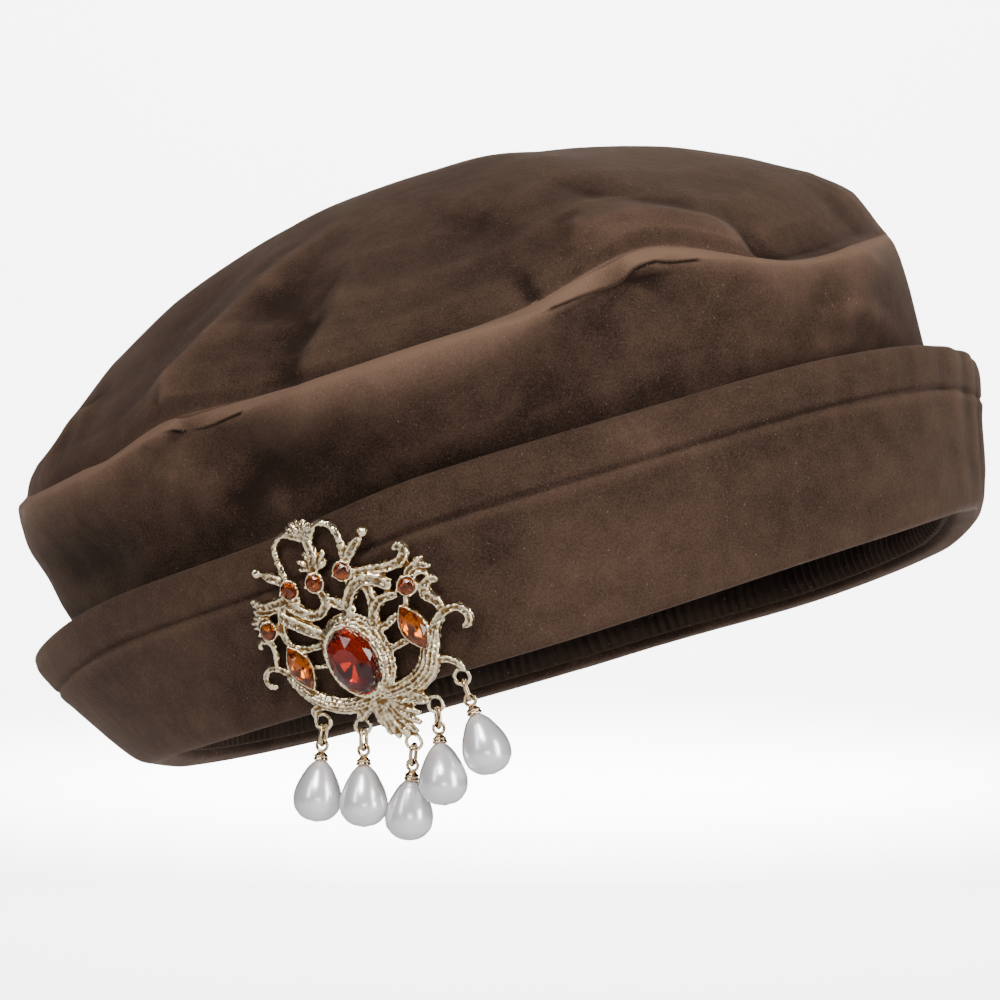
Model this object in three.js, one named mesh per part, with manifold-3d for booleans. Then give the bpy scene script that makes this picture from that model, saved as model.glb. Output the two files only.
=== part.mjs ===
// Velvet beret with a turned-up cuff, worn at a tilt, and an openwork brooch with five pearl drops.
// Millimetres. +Z is straight up, +X is the viewer's right, and the front of the hat faces -Y.
// The origin is the middle of the head opening, in the plane of the rim.
import * as THREE from "three";
import { mergeVertices } from "three/addons/utils/BufferGeometryUtils.js";
import Module from "manifold-3d";

const wasm = await Module();
wasm.setup();

// How the hat sits on the head, in degrees
const sideLean = 17.1;
const backLean = 4.2;

// Head opening, inside the gathered band
const headWidth = 186;
const headDepth = 198;

// Cloth and clearances
const crownWall = 2;
const cuffWall = 2.6;
const bandWall = 1.4;
const bandPuff = 1.2;
const seatGap = 0.3;

// Crown: how far the seam ring overhangs the head opening on each side, and its heights
const crownOverhang = { left: 19.5, right: 7.5, front: 10, back: 10 };
const seamHeight = 70;
const tipRise = 43;
const crownBulge = 5;
const foldDepth = 5;
const rimSaddle = 6;

// Cuff and band
const cuffHeight = 42;
const cuffFlare = 17;
const cuffRoll = 6.2;
const bandHeight = 27;
const bandDrop = 2.4;
const crownDrop = 3.4;

// Brooch, stones and drops
const broochWidth = 52;
const broochLength = 55;
const frameBase = 0.9;
const broochDome = 150;
const broochTurn = 5.7;
const broochPlace = { angle: -24.6, level: 0.21 };
const ovalStone = { length: 15.4, width: 11.2, rise: 3.2 };
const pavilionDepth = 1;
const girdle = 0.2;
const collarHeight = 2.2;
const collarRim = 1.1;
const collarLip = 0.5;
const marquiseStone = { length: 10.8, width: 5.6, rise: 1.7 };
const roundStone = { length: 4.2, width: 4.2, rise: 1.2 };
const ringRadius = 1.75;
const ringWire = 0.42;
const linkHalfWidth = 1.5;
const linkLength = 4.5;
const eyeRadius = 1.2;
const eyeWire = 0.36;
const capRadius = 1.6;
const capHeight = 1.5;
const pearlLength = 13.4;
const pearlWidth = 10.5;
const pinWire = 0.6;
const broochStandOff = 0.9;

// Fineness of the facets
const roundSteps = 46;
const frontCrowding = 0.38;
const wireSides = 5;
const beadSides = 12;

// The cuff's top edge round the hat: height as a share of cuffHeight, flare as a share of cuffFlare
const cuffEdge = [
  { at: -180, height: 0.95, flare: 0.4 },
  { at: -130, height: 0.86, flare: 0.6 },
  { at: -90, height: 0.75, flare: 1.08 },
  { at: -60, height: 0.86, flare: 0.72 },
  { at: -32, height: 0.89, flare: 0.42 },
  { at: -11, height: 0.98, flare: 0.36 },
  { at: 20, height: 0.97, flare: 0.36 },
  { at: 50, height: 0.93, flare: 0.42 },
  { at: 90, height: 0.8, flare: 0.5 },
  { at: 130, height: 0.96, flare: 0.42 },
];

// How low the rim, and all that stands on it, hangs round the hat, as a share of rimSaddle
const rimDrop = [
  { at: -180, drop: 0.75 },
  { at: -140, drop: 0.55 },
  { at: -106, drop: 0.25 },
  { at: -90, drop: 0 },
  { at: -45, drop: 0.42 },
  { at: 0, drop: 0.83 },
  { at: 45, drop: 0.42 },
  { at: 82, drop: 0 },
  { at: 95, drop: 0.35 },
  { at: 110, drop: 0.85 },
  { at: 140, drop: 1.05 },
  { at: 165, drop: 0.8 },
];

// The cuff's outer face from its roll to its top edge: level as a share of the edge's height
const cuffProfile = [
  { level: 0.06, out: 0.12 },
  { level: 0.2, out: 0.31 },
  { level: 0.4, out: 0.53 },
  { level: 0.66, out: 0.8 },
  { level: 0.86, out: 0.98 },
  { level: 0.95, out: 1.0 },
  { level: 1.0, out: 0.96 },
];

// The seam ring round the hat: level as a share of seamHeight, reach as a share of the crown's reach
const seamRing = [
  { at: -180, level: 1.02, reach: 1.0 },
  { at: -120, level: 1.0, reach: 1.0 },
  { at: -90, level: 1.0, reach: 1.0 },
  { at: -70, level: 0.96, reach: 1.0 },
  { at: -52, level: 0.97, reach: 0.99 },
  { at: -40, level: 1.03, reach: 0.98 },
  { at: -20, level: 1.0, reach: 1.0 },
  { at: 5, level: 1.02, reach: 1.0 },
  { at: 25, level: 1.1, reach: 0.97 },
  { at: 45, level: 0.93, reach: 1.0 },
  { at: 65, level: 0.93, reach: 1.0 },
  { at: 90, level: 0.98, reach: 1.0 },
  { at: 130, level: 1.0, reach: 1.0 },
];

// The crown's side from its foot to the seam: bulge on each side as a share of crownBulge
const sideProfile = [
  { level: 0.0, left: 0, right: 0, front: 0, back: 0 },
  { level: 0.42, left: 0.6, right: 0.2, front: -0.2, back: -0.15 },
  { level: 0.56, left: 0.85, right: 0.25, front: -0.45, back: -0.4 },
  { level: 0.68, left: 0.82, right: 0.28, front: 0.2, back: 0.2 },
  { level: 0.8, left: 0.95, right: 0.28, front: 0.75, back: 0.55 },
  { level: 0.9, left: 0.7, right: 0.22, front: 0.98, back: 0.75 },
  { level: 0.96, left: 0.4, right: 0.12, front: 0.7, back: 0.5 },
  { level: 1.0, left: 0, right: 0, front: 0, back: 0 },
];

// The tip from the seam to its middle: rise on each side as a share of tipRise
const tipProfile = [
  { share: 1.0, left: 0, right: 0, front: 0, back: 0 },
  { share: 0.95, left: 0.12, right: 0.26, front: 0.13, back: 0.2 },
  { share: 0.87, left: 0.28, right: 0.43, front: 0.3, back: 0.38 },
  { share: 0.74, left: 0.52, right: 0.61, front: 0.52, back: 0.58 },
  { share: 0.58, left: 0.74, right: 0.77, front: 0.73, back: 0.75 },
  { share: 0.4, left: 0.89, right: 0.89, front: 0.89, back: 0.88 },
  { share: 0.2, left: 0.97, right: 0.965, front: 0.97, back: 0.96 },
];

// Folds of the tip, seen from above. Each runs from, via and to a place given by its angle round
// the hat and its share of the way out from the middle; lift is a share of foldDepth, and the
// two spreads, in shares of the head's width, are those of its outer and its inner slope.
const tipFolds = [
  { name: "ridge_b", from: [-25, 0.46], via: [-36, 0.75], to: [-43, 0.94], lift: 0.55, outer: 0.06, inner: 0.05 },
  { name: "ridge_c", from: [-13, 0.74], via: [-17, 0.87], to: [-20, 0.98], lift: 0.4, outer: 0.05, inner: 0.05 },
  { name: "ridge_d", from: [6, 0.43], via: [14, 0.73], to: [31, 0.97], lift: 0.8, outer: 0.05, inner: 0.09 },
];

// Folds of the crown's side: angle round the hat and share of the way up from the foot
const sideFolds = [
  { name: "valley_left", from: [-36, 0.97], via: [-29, 0.83], to: [-24, 0.6], lift: -0.8, outer: 0.06, inner: 0.06 },
  { name: "crest_left", from: [-42, 0.96], via: [-38, 0.8], to: [-32, 0.6], lift: 0.6, outer: 0.06, inner: 0.05 },
  { name: "valley_right", from: [23, 0.96], via: [12, 0.8], to: [-3, 0.64], lift: -0.7, outer: 0.08, inner: 0.08 },
  { name: "valley_end", from: [27, 0.9], via: [30, 0.75], to: [28, 0.6], lift: -0.4, outer: 0.05, inner: 0.05 },
];

const rad = THREE.MathUtils.degToRad;
const lerp = THREE.MathUtils.lerp;

// Smooth value between four neighbouring rows of a table
function eased(before, low, high, after, t) {
  const rise = (high - before) / 2;
  const fall = (after - low) / 2;
  const t2 = t * t;
  const t3 = t2 * t;
  return low * (2 * t3 - 3 * t2 + 1) + rise * (t3 - 2 * t2 + t) + high * (3 * t2 - 2 * t3) + fall * (t3 - t2);
}

// One column of a table whose rows are set at angles round the hat
function around(rows, column, degrees) {
  const count = rows.length;
  const turned = THREE.MathUtils.euclideanModulo(degrees - rows[0].at, 360) + rows[0].at;
  let row = count - 1;
  while (rows[row].at > turned) {
    row -= 1;
  }
  const next = (row + 1) % count;
  const nextAt = next === 0 ? rows[0].at + 360 : rows[next].at;
  const share = (turned - rows[row].at) / (nextAt - rows[row].at);
  const before = rows[(row + count - 1) % count][column];
  const after = rows[(next + 1) % count][column];
  return eased(before, rows[row][column], rows[next][column], after, share);
}

// How much of the left, right, front and back columns counts at an angle, a is 0 at the front
function sides(a) {
  const s = Math.sin(a);
  const c = Math.cos(a);
  return {
    left: s < 0 ? s * s : 0,
    right: s > 0 ? s * s : 0,
    front: c > 0 ? c * c : 0,
    back: c < 0 ? c * c : 0,
  };
}

function mixed(row, a) {
  const weight = sides(a);
  return row.left * weight.left + row.right * weight.right + row.front * weight.front + row.back * weight.back;
}

// A ring point at an angle: the head opening's oval grown by a distance
function headOval(a, grown) {
  return new THREE.Vector2((headWidth / 2 + grown) * Math.sin(a), -(headDepth / 2 + grown) * Math.cos(a));
}

// The seam ring's place in plan
function seamOval(a) {
  const reach = around(seamRing, "reach", THREE.MathUtils.radToDeg(a));
  const across = headWidth / 2 + (Math.sin(a) > 0 ? crownOverhang.right : crownOverhang.left);
  const along = headDepth / 2 + (Math.cos(a) > 0 ? crownOverhang.front : crownOverhang.back);
  return new THREE.Vector2(reach * across * Math.sin(a), -reach * along * Math.cos(a));
}

function seamLevel(a) {
  return seamHeight * around(seamRing, "level", THREE.MathUtils.radToDeg(a));
}

function saddle(a) {
  return -rimSaddle * around(rimDrop, "drop", THREE.MathUtils.radToDeg(a));
}

// Distance from a point to a fold's line, positive on its left, and how strong the fold is there
function foldLift(folds, toPlane, point) {
  let lift = 0;
  for (const fold of folds) {
    const start = toPlane(fold.from);
    const middle = toPlane(fold.via);
    const end = toPlane(fold.to);
    const steps = 12;
    let nearest = Infinity;
    let side = 1;
    let along = 0;
    for (let step = 0; step <= steps; step += 1) {
      const t = step / steps;
      const onLine = new THREE.Vector2(
        (1 - t) * (1 - 2 * t) * start.x + 4 * t * (1 - t) * middle.x + t * (2 * t - 1) * end.x,
        (1 - t) * (1 - 2 * t) * start.y + 4 * t * (1 - t) * middle.y + t * (2 * t - 1) * end.y,
      );
      const away = point.distanceTo(onLine);
      if (away < nearest) {
        const heading = new THREE.Vector2().subVectors(end, start);
        const offset = new THREE.Vector2().subVectors(point, onLine);
        nearest = away;
        side = heading.cross(offset);
        along = t;
      }
    }
    const spread = headWidth * (side > 0 ? fold.inner : fold.outer);
    const fade = Math.sin(Math.PI * (0.12 + 0.76 * along));
    lift += foldDepth * fold.lift * fade * Math.exp(-((nearest / spread) ** 2));
  }
  return lift;
}

// The crown's side: outer face at a share of the way up, moved in by a depth
function sidePoint(a, row, inward) {
  const foot = headOval(a, bandPuff + bandWall + seatGap + crownWall);
  const seam = seamOval(a);
  const plan = foot.clone().lerp(seam, row.level);
  const outward = new THREE.Vector2(Math.sin(a), -Math.cos(a));
  const flat = ([degrees, share]) => new THREE.Vector2(rad(degrees) * headDepth / 2, share * seamHeight);
  const here = new THREE.Vector2(a * headDepth / 2, row.level * seamHeight);
  const free = THREE.MathUtils.smoothstep(row.level, bandHeight / seamHeight, 0.65);
  const bulge = crownBulge * mixed(row, a) + foldLift(sideFolds, flat, here) * free;
  plan.addScaledVector(outward, bulge - inward);
  const height = lerp(crownDrop, seamLevel(a) - seatGap / 2, row.level);
  return new THREE.Vector3(plan.x, plan.y, height + saddle(a));
}

// The crown's tip: a place between its middle, share 0, and the seam, share 1
function tipPoint(a, row, inward) {
  const seam = seamOval(a);
  const spot = seam.clone().multiplyScalar(row.share);
  const plan = ([degrees, share]) => seamOval(rad(degrees)).multiplyScalar(share);
  const edge = row.share ** 2;
  const base = lerp(seamHeight, seamLevel(a) + saddle(a), edge);
  const lift = foldLift(tipFolds, plan, spot) * (1 - row.share ** 8);
  const shrink = (seam.length() - inward) / seam.length();
  const height = base + tipRise * mixed(row, a) + lift + seatGap / 2;
  return new THREE.Vector3(spot.x * shrink, spot.y * shrink, height - inward * (1 - edge));
}

// The cuff's outer face at an angle and a level, moved in by a depth
function cuffPoint(a, level, out, inward) {
  const degrees = THREE.MathUtils.radToDeg(a);
  const foot = bandPuff + bandWall + seatGap + cuffRoll;
  const flare = cuffFlare * around(cuffEdge, "flare", degrees) * out;
  const plan = headOval(a, foot + flare - inward);
  const height = cuffHeight * around(cuffEdge, "height", degrees) * level;
  return new THREE.Vector3(plan.x, plan.y, height + saddle(a));
}

// Angles round the hat, crowded towards the front, where the folds are
function roundAngles() {
  const angles = [];
  for (let step = 0; step < roundSteps; step += 1) {
    const even = (step / roundSteps) * 2 * Math.PI - Math.PI;
    angles.push(even - frontCrowding * Math.sin(even));
  }
  return angles;
}

// A closed solid through rings of equally many points. A loop joins the last ring to the first,
// and otherwise the first and last rings are closed with flat fans.
function loft(rings, isLoop) {
  const count = rings[0].length;
  const positions = rings.flat().flatMap((point) => [point.x, point.y, point.z]);
  const index = [];
  const spans = isLoop ? rings.length : rings.length - 1;
  for (let ring = 0; ring < spans; ring += 1) {
    const low = ring * count;
    const high = ((ring + 1) % rings.length) * count;
    for (let step = 0; step < count; step += 1) {
      const next = (step + 1) % count;
      index.push(low + step, low + next, high + next, low + step, high + next, high + step);
    }
  }
  if (!isLoop) {
    const last = (rings.length - 1) * count;
    for (let step = 1; step < count - 1; step += 1) {
      index.push(0, step + 1, step, last, last + step, last + step + 1);
    }
  }
  const geometry = new THREE.BufferGeometry();
  geometry.setAttribute("position", new THREE.Float32BufferAttribute(positions, 3));
  geometry.setIndex(index);
  return facingOut(geometry);
}

// Turns a closed geometry's faces to point out of its body
function facingOut(geometry) {
  const spots = geometry.attributes.position;
  const corners = [0, 1, 2].map(() => new THREE.Vector3());
  let volume = 0;
  for (let face = 0; face < geometry.index.count; face += 3) {
    corners.forEach((corner, turn) => corner.fromBufferAttribute(spots, geometry.index.getX(face + turn)));
    volume += corners[0].dot(corners[1].clone().cross(corners[2]));
  }
  if (volume < 0) {
    geometry.setIndex(Array.from(geometry.index.array).reverse());
  }
  return geometry;
}

function toSolid(geometry) {
  const bare = geometry.clone();
  bare.deleteAttribute("normal");
  bare.deleteAttribute("uv");
  const merged = mergeVertices(bare, 1e-5);
  return new wasm.Manifold(new wasm.Mesh({
    numProp: 3,
    vertProperties: new Float32Array(merged.attributes.position.array),
    triVerts: new Uint32Array(merged.index.array),
  }));
}

function fromSolid(solid) {
  const mesh = solid.getMesh();
  const geometry = new THREE.BufferGeometry();
  geometry.setAttribute("position", new THREE.Float32BufferAttribute(mesh.vertProperties, 3));
  geometry.setIndex(Array.from(mesh.triVerts));
  return geometry;
}

const velvet = new THREE.MeshStandardMaterial({ color: 0x4b362a, roughness: 0.9, metalness: 0 });
const gatheredVelvet = new THREE.MeshStandardMaterial({ color: 0x33241c, roughness: 0.95, metalness: 0 });
const paleGold = new THREE.MeshStandardMaterial({ color: 0xd9bd84, roughness: 0.25, metalness: 1 });
const plainBrass = new THREE.MeshStandardMaterial({ color: 0xb08f56, roughness: 0.35, metalness: 1 });
const redAmber = new THREE.MeshStandardMaterial({ color: 0x7a1f0c, roughness: 0.05, metalness: 0 });
const amber = new THREE.MeshStandardMaterial({ color: 0xb5620c, roughness: 0.05, metalness: 0 });
const pearlWhite = new THREE.MeshStandardMaterial({ color: 0xe9e4e6, roughness: 0.2, metalness: 0 });

const hat = new THREE.Group();
const worn = new THREE.Group();
worn.rotation.set(rad(-backLean), rad(-sideLean), 0, "YXZ");
hat.add(worn);

function addPiece(parent, name, geometry, material) {
  const piece = new THREE.Mesh(geometry, material);
  piece.name = name;
  parent.add(piece);
  return piece;
}

// The crown's tip: a cloth shell from the seam over the dome to the middle, and back inside
function crownTip() {
  const angles = roundAngles();
  const outer = tipProfile.map((row) => angles.map((a) => tipPoint(a, row, 0)));
  const inner = tipProfile.map((row) => angles.map((a) => tipPoint(a, row, crownWall)));
  const middleHeight = seamHeight + tipRise;
  const outerMiddle = new THREE.Vector3(0, 0, middleHeight);
  const innerMiddle = new THREE.Vector3(0, 0, middleHeight - crownWall);
  const count = angles.length;
  const rings = [...inner.toReversed(), ...outer];
  const positions = rings.flat().concat(innerMiddle, outerMiddle).flatMap((point) => point.toArray());
  const index = [];
  for (let ring = 0; ring < rings.length - 1; ring += 1) {
    for (let step = 0; step < count; step += 1) {
      const next = (step + 1) % count;
      const low = ring * count;
      const high = low + count;
      index.push(low + step, low + next, high + next, low + step, high + next, high + step);
    }
  }
  const last = (rings.length - 1) * count;
  const middles = rings.length * count;
  for (let step = 0; step < count; step += 1) {
    const next = (step + 1) % count;
    index.push(middles, next, step, middles + 1, last + step, last + next);
  }
  const geometry = new THREE.BufferGeometry();
  geometry.setAttribute("position", new THREE.Float32BufferAttribute(positions, 3));
  geometry.setIndex(index);
  return facingOut(geometry);
}

// The crown's side: a cloth band, open above and below
function crownSide() {
  const angles = roundAngles();
  const outer = sideProfile.map((row) => angles.map((a) => sidePoint(a, row, 0)));
  const inner = sideProfile.map((row) => angles.map((a) => sidePoint(a, row, crownWall)));
  return loft([...outer, ...inner.toReversed()], true);
}

// The cuff: from its foot under the crown's edge, out round the rim's roll, up and over its hem
function cuffShell() {
  const angles = roundAngles();
  const foot = bandPuff + bandWall + seatGap;
  const low = (a, grown, height) => {
    const plan = headOval(a, grown);
    return new THREE.Vector3(plan.x, plan.y, height + saddle(a));
  };
  const lip = crownDrop - seatGap;
  const rings = [
    angles.map((a) => low(a, foot, lip - cuffWall + seatGap)),
    angles.map((a) => low(a, foot + cuffRoll * 0.4, 0.1)),
    angles.map((a) => low(a, foot + cuffRoll * 0.85, 0)),
  ];
  for (const row of cuffProfile) {
    rings.push(angles.map((a) => cuffPoint(a, row.level, row.out, 0)));
  }
  const top = cuffProfile.at(-1);
  const crest = 1.018;
  rings.push(angles.map((a) => cuffPoint(a, crest, top.out, cuffWall / 2)));
  for (const row of [...cuffProfile].reverse()) {
    const isLow = row.level < 0.15;
    if (!isLow) {
      rings.push(angles.map((a) => cuffPoint(a, row.level, row.out, cuffWall)));
    }
  }
  rings.push(angles.map((a) => low(a, foot + cuffRoll - cuffWall - 1, lip)));
  rings.push(angles.map((a) => low(a, foot, lip)));
  return loft(rings, true);
}

// The gathered band inside the opening: height and how far the cloth puffs in, as shares
const bandProfile = [
  { level: 0.0, puff: 0.4 },
  { level: 0.12, puff: 0.95 },
  { level: 0.3, puff: 0.25 },
  { level: 0.5, puff: 1.0 },
  { level: 0.75, puff: 0.3 },
  { level: 1.0, puff: 0.1 },
];

function innerBand() {
  const angles = roundAngles();
  const face = (row, grown) => angles.map((a) => {
    const plan = headOval(a, grown);
    return new THREE.Vector3(plan.x, plan.y, bandDrop + bandHeight * row.level + saddle(a));
  });
  const inner = bandProfile.map((row) => face(row, bandPuff * (1 - row.puff)));
  const outer = [...bandProfile].reverse().map((row) => face(row, bandPuff + bandWall));
  return loft([...inner, ...outer], true);
}

// The brooch's scrolls, on a chart of 50 units across its width and 55 up its length. Each bar
// runs from one place to another, bows to its left, and may end in a curl that turns left.
const scrolls = [
  { name: "left_bow", from: [-13, 1], to: [-5.5, -8.4], bow: -1.6, half: [1.6, 2] },
  { name: "left_bow_foot", from: [-6.5, -7.9], to: [1.5, -9.9], bow: -0.5, half: [2, 1.9] },
  { name: "left_arm", from: [-13.6, 1.6], to: [-18.6, 6.1], bow: -0.4, half: [1, 0.8], curl: 2.2, turn: 175 },
  { name: "left_scroll", from: [-18.1, 6.4], to: [-17.3, 10.8], bow: -0.2, half: [0.9, 0.9], curl: 1.2, turn: 170 },
  { name: "left_bar_low", from: [-10.4, 2.2], to: [-5.6, 0.5], bow: 0, half: [0.8, 0.8] },
  { name: "left_bar_mid", from: [-11.5, 7.6], to: [-5.2, 5.5], bow: -0.3, half: [0.8, 0.8] },
  { name: "left_leaf_bar", from: [-10.6, 12.8], to: [-4.8, 7.2], bow: -0.3, half: [1.3, 0.9] },
  { name: "left_rise", from: [-12.6, 8.4], to: [-13.9, 12.4], bow: 0, half: [0.6, 0.6] },
  { name: "left_mass", from: [-14.2, 14.6], to: [-9, 11.5], bow: 0.8, half: [1.4, 1.3] },
  { name: "left_branch", from: [-6, 15.4], to: [-14.6, 17.9], bow: -0.9, half: [1.1, 0.9], curl: 3, turn: -75 },
  { name: "left_leaf", from: [-12, 15.2], to: [-18.8, 16.1], bow: 0.3, half: [1.2, 0.6] },
  { name: "left_descent", from: [-7.2, 17.2], to: [-2.6, 11.4], bow: -0.3, half: [1.3, 1.1] },
  { name: "left_fork", from: [-2.8, 12.2], to: [-0.5, 17], bow: -0.5, half: [0.9, 0.6] },
  { name: "right_fork", from: [-0.1, 17], to: [3.6, 10.8], bow: -0.5, half: [0.6, 1] },
  { name: "right_descent", from: [7.2, 16.4], to: [3.2, 11], bow: 0.3, half: [1.2, 1.1] },
  { name: "right_branch", from: [6.6, 16.4], to: [14.6, 13.2], bow: 0.8, half: [1.3, 1] },
  { name: "right_branch_end", from: [14.2, 13.6], to: [15.9, 9.8], bow: 0.3, half: [1, 0.9] },
  { name: "right_tendril", from: [11.4, 15.4], to: [17.4, 15.1], bow: -0.3, half: [0.7, 0.8], curl: 2.3, turn: 140 },
  { name: "right_eye", from: [17.4, 15], to: [20.5, 10.6], bow: 0.4, half: [0.6, 0.9] },
  { name: "right_eye_sill", from: [15, 12.4], to: [20, 11.9], bow: 0.4, half: [0.5, 0.6] },
  { name: "right_leaf", from: [20, 11.6], to: [24, 11.2], bow: 0.9, half: [0.9, 0.5] },
  { name: "right_scroll", from: [24, 1.6], to: [20.8, 6.8], bow: -0.3, half: [1, 0.9], curl: 1.4, turn: -190 },
  { name: "right_scroll_tie", from: [20.8, 7.4], to: [19, 9], bow: 0, half: [0.6, 0.6] },
  { name: "right_arm", from: [17.4, -2.2], to: [24.6, 1.5], bow: 1, half: [1.2, 1], curl: 2.1, turn: -190 },
  { name: "right_bow", from: [17.6, -1.6], to: [8.8, -9.6], bow: 2.2, half: [1.6, 2] },
  { name: "right_bow_foot", from: [9.6, -9.5], to: [1.5, -9.6], bow: -0.3, half: [2, 1.9] },
  { name: "right_bar_top", from: [9, 8.8], to: [15, 8.7], bow: 0.8, half: [0.8, 0.8] },
  { name: "right_bar_side", from: [15.4, 9.2], to: [14.8, 5.8], bow: 0, half: [0.8, 0.7] },
  { name: "right_bar_mid", from: [5.6, 4.5], to: [13, 5.2], bow: 0.1, half: [0.75, 0.75] },
  { name: "right_bar_low", from: [6, -1], to: [12.8, -0.8], bow: 0.1, half: [0.75, 0.75] },
  { name: "right_inner", from: [9.4, 14.6], to: [9.2, 8.6], bow: 0.9, half: [0.9, 1] },
  { name: "right_shoulder", from: [9.6, 9.2], to: [4.8, 6.2], bow: 0, half: [1.2, 1.2] },
  { name: "left_stalk", from: [-7.4, 20.4], to: [-12.2, 25.5], bow: 0, half: [1, 0.5] },
  { name: "right_stalk", from: [7, 19.8], to: [13.4, 24], bow: 0, half: [1.1, 0.5] },
  { name: "left_antenna", from: [-6.8, 20.6], to: [-6.7, 27.9], bow: 0.4, half: [0.9, 0.6], curl: 2.9, turn: -150 },
  { name: "right_antenna", from: [6.9, 20], to: [8, 26.4], bow: -0.3, half: [0.9, 0.6], curl: 3.4, turn: 150 },
  { name: "stem", from: [-0.6, 19.4], to: [0.9, 29.4], bow: 0.2, half: [0.8, 1.4] },
  { name: "left_knot", from: [-0.5, -9.8], to: [-5.9, -12.7], bow: 0, half: [1.7, 1] },
  { name: "right_knot", from: [4, -10], to: [10.5, -14.5], bow: 0.2, half: [1.9, 0.9] },
  { name: "left_hook", from: [-9.2, -5.4], to: [-13.9, -8], bow: -0.6, half: [0.8, 0.8] },
  { name: "right_hook", from: [14.5, -6.6], to: [19.2, -11.3], bow: 1.1, half: [0.9, 0.75] },
];

// Fans of petals: a shared foot, the petals' tips and their half widths
const fans = [
  { name: "palmette", foot: [0.8, 28.2], half: [0.8, 0.55],
    tips: [[-4.2, 31.4], [-2.7, 33.4], [-0.5, 34.5], [1.7, 34], [3.3, 32.2]] },
  { name: "small_fleur", foot: [0.7, 22.4], half: [0.7, 0.5],
    tips: [[-3.4, 23.8], [-1.8, 25.4], [2.6, 25.2], [3.9, 23.2]] },
  { name: "leaf", foot: [2, -9.2], half: [1.5, 0.9],
    tips: [[0, -16.8], [1.4, -18.6], [3.1, -19.9], [5.5, -18.8], [6.6, -16]] },
  { name: "left_tuft", foot: [-13.6, 15], half: [0.8, 0.45], tips: [[-17.6, 17.2], [-19, 15.4]] },
];

const balls = [
  { at: [-12.4, 25.7], radius: 1.1 },
  { at: [13.7, 24.1], radius: 1.3 },
];

// Stones on the same chart, with how far each is turned to the left in degrees, and its collar's
// rim and height as shares of collarRim and collarHeight
const stoneSeats = [
  { name: "stone_oval", at: [-0.3, -0.2], turn: 5, cut: ovalStone, sides: 12, rim: 1, seat: 1 },
  { name: "stone_marquise_left", at: [-12.5, 3], turn: 7, cut: marquiseStone, sides: 10, rim: 0.41, seat: 0.86 },
  { name: "stone_marquise_right", at: [15, 1.1], turn: 7, cut: marquiseStone, sides: 10, rim: 0.41, seat: 0.86 },
  { name: "stone_round_1", at: [-7, 19.2], turn: 0, cut: roundStone, sides: 8, rim: 0.36, seat: 0.82 },
  { name: "stone_round_2", at: [-0.8, 18.4], turn: 0, cut: roundStone, sides: 8, rim: 0.36, seat: 0.82 },
  { name: "stone_round_3", at: [6.1, 18.3], turn: 0, cut: roundStone, sides: 8, rim: 0.36, seat: 0.82 },
  { name: "stone_round_4", at: [-15.8, 13], turn: 0, cut: roundStone, sides: 8, rim: 0.36, seat: 0.82 },
  { name: "stone_round_5", at: [17.6, 9.7], turn: 0, cut: roundStone, sides: 8, rim: 0.36, seat: 0.82 },
];

// Drop rings on the chart, and each drop's lean to the right and link's turn, in degrees
const drops = [
  { ring: [-14.2, -9.6], lean: -5, turn: 90, forward: 0 },
  { ring: [-6.1, -13.9], lean: 0, turn: 90, forward: 0 },
  { ring: [2.8, -21.4], lean: -4, turn: 90, forward: -12 },
  { ring: [11.1, -15.9], lean: 5, turn: 50, forward: 8 },
  { ring: [19, -12.9], lean: 18, turn: 70, forward: 0 },
];

const chart = broochWidth / 50;
const chartUp = broochLength / 55;

// A chart place as a point of the brooch, raised above its domed back
function onBrooch([x, y], raised) {
  const across = x * chart;
  const along = y * chartUp;
  return new THREE.Vector3(across, along, raised - (across ** 2 + 0.4 * along ** 2) / (2 * broochDome));
}

// The middle line of a scroll bar and its half widths, at a few stations
function scrollLine(row) {
  const start = new THREE.Vector2(...row.from);
  const end = new THREE.Vector2(...row.to);
  const heading = end.clone().sub(start).normalize();
  const left = new THREE.Vector2(-heading.y, heading.x);
  const pull = start.clone().add(end).multiplyScalar(0.5).addScaledVector(left, 2 * row.bow);
  const bars = Math.abs(row.bow) > 0.35 ? 3 : 1;
  const line = [];
  for (let step = 0; step <= bars; step += 1) {
    const t = step / bars;
    const spot = start.clone().multiplyScalar((1 - t) ** 2);
    spot.addScaledVector(pull, 2 * t * (1 - t)).addScaledVector(end, t * t);
    line.push({ x: spot.x, y: spot.y, half: lerp(row.half[0], row.half[1], t) });
  }
  if (row.curl) {
    const stride = Math.sign(row.turn) * 42;
    const strides = Math.round(row.turn / stride);
    let direction = end.clone().sub(pull).angle();
    const spot = end.clone();
    for (let step = 0; step < strides; step += 1) {
      const tighter = row.curl * (1 - 0.35 * step / strides);
      const length = tighter * rad(Math.abs(stride));
      direction += rad(stride);
      spot.x += length * Math.cos(direction - rad(stride) / 2);
      spot.y += length * Math.sin(direction - rad(stride) / 2);
      line.push({ x: spot.x, y: spot.y, half: row.half[1] * (step === strides - 1 ? 1.15 : 1) });
    }
  }
  return line;
}

// A cast bar, flat behind and rounded in front, along a line on the chart
function castBar(line) {
  const rings = line.map((spot, place) => {
    const before = line[Math.max(0, place - 1)];
    const after = line[Math.min(line.length - 1, place + 1)];
    const heading = new THREE.Vector2(after.x - before.x, after.y - before.y).normalize();
    const crest = frameBase + 0.75 * spot.half * chart;
    const section = [[-1, 0], [1, 0], [0.5, 1], [-0.5, 1]];
    return section.map(([across, up]) => onBrooch([
      spot.x - heading.y * across * spot.half,
      spot.y + heading.x * across * spot.half,
    ], up * crest));
  });
  return loft(rings, false);
}

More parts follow.
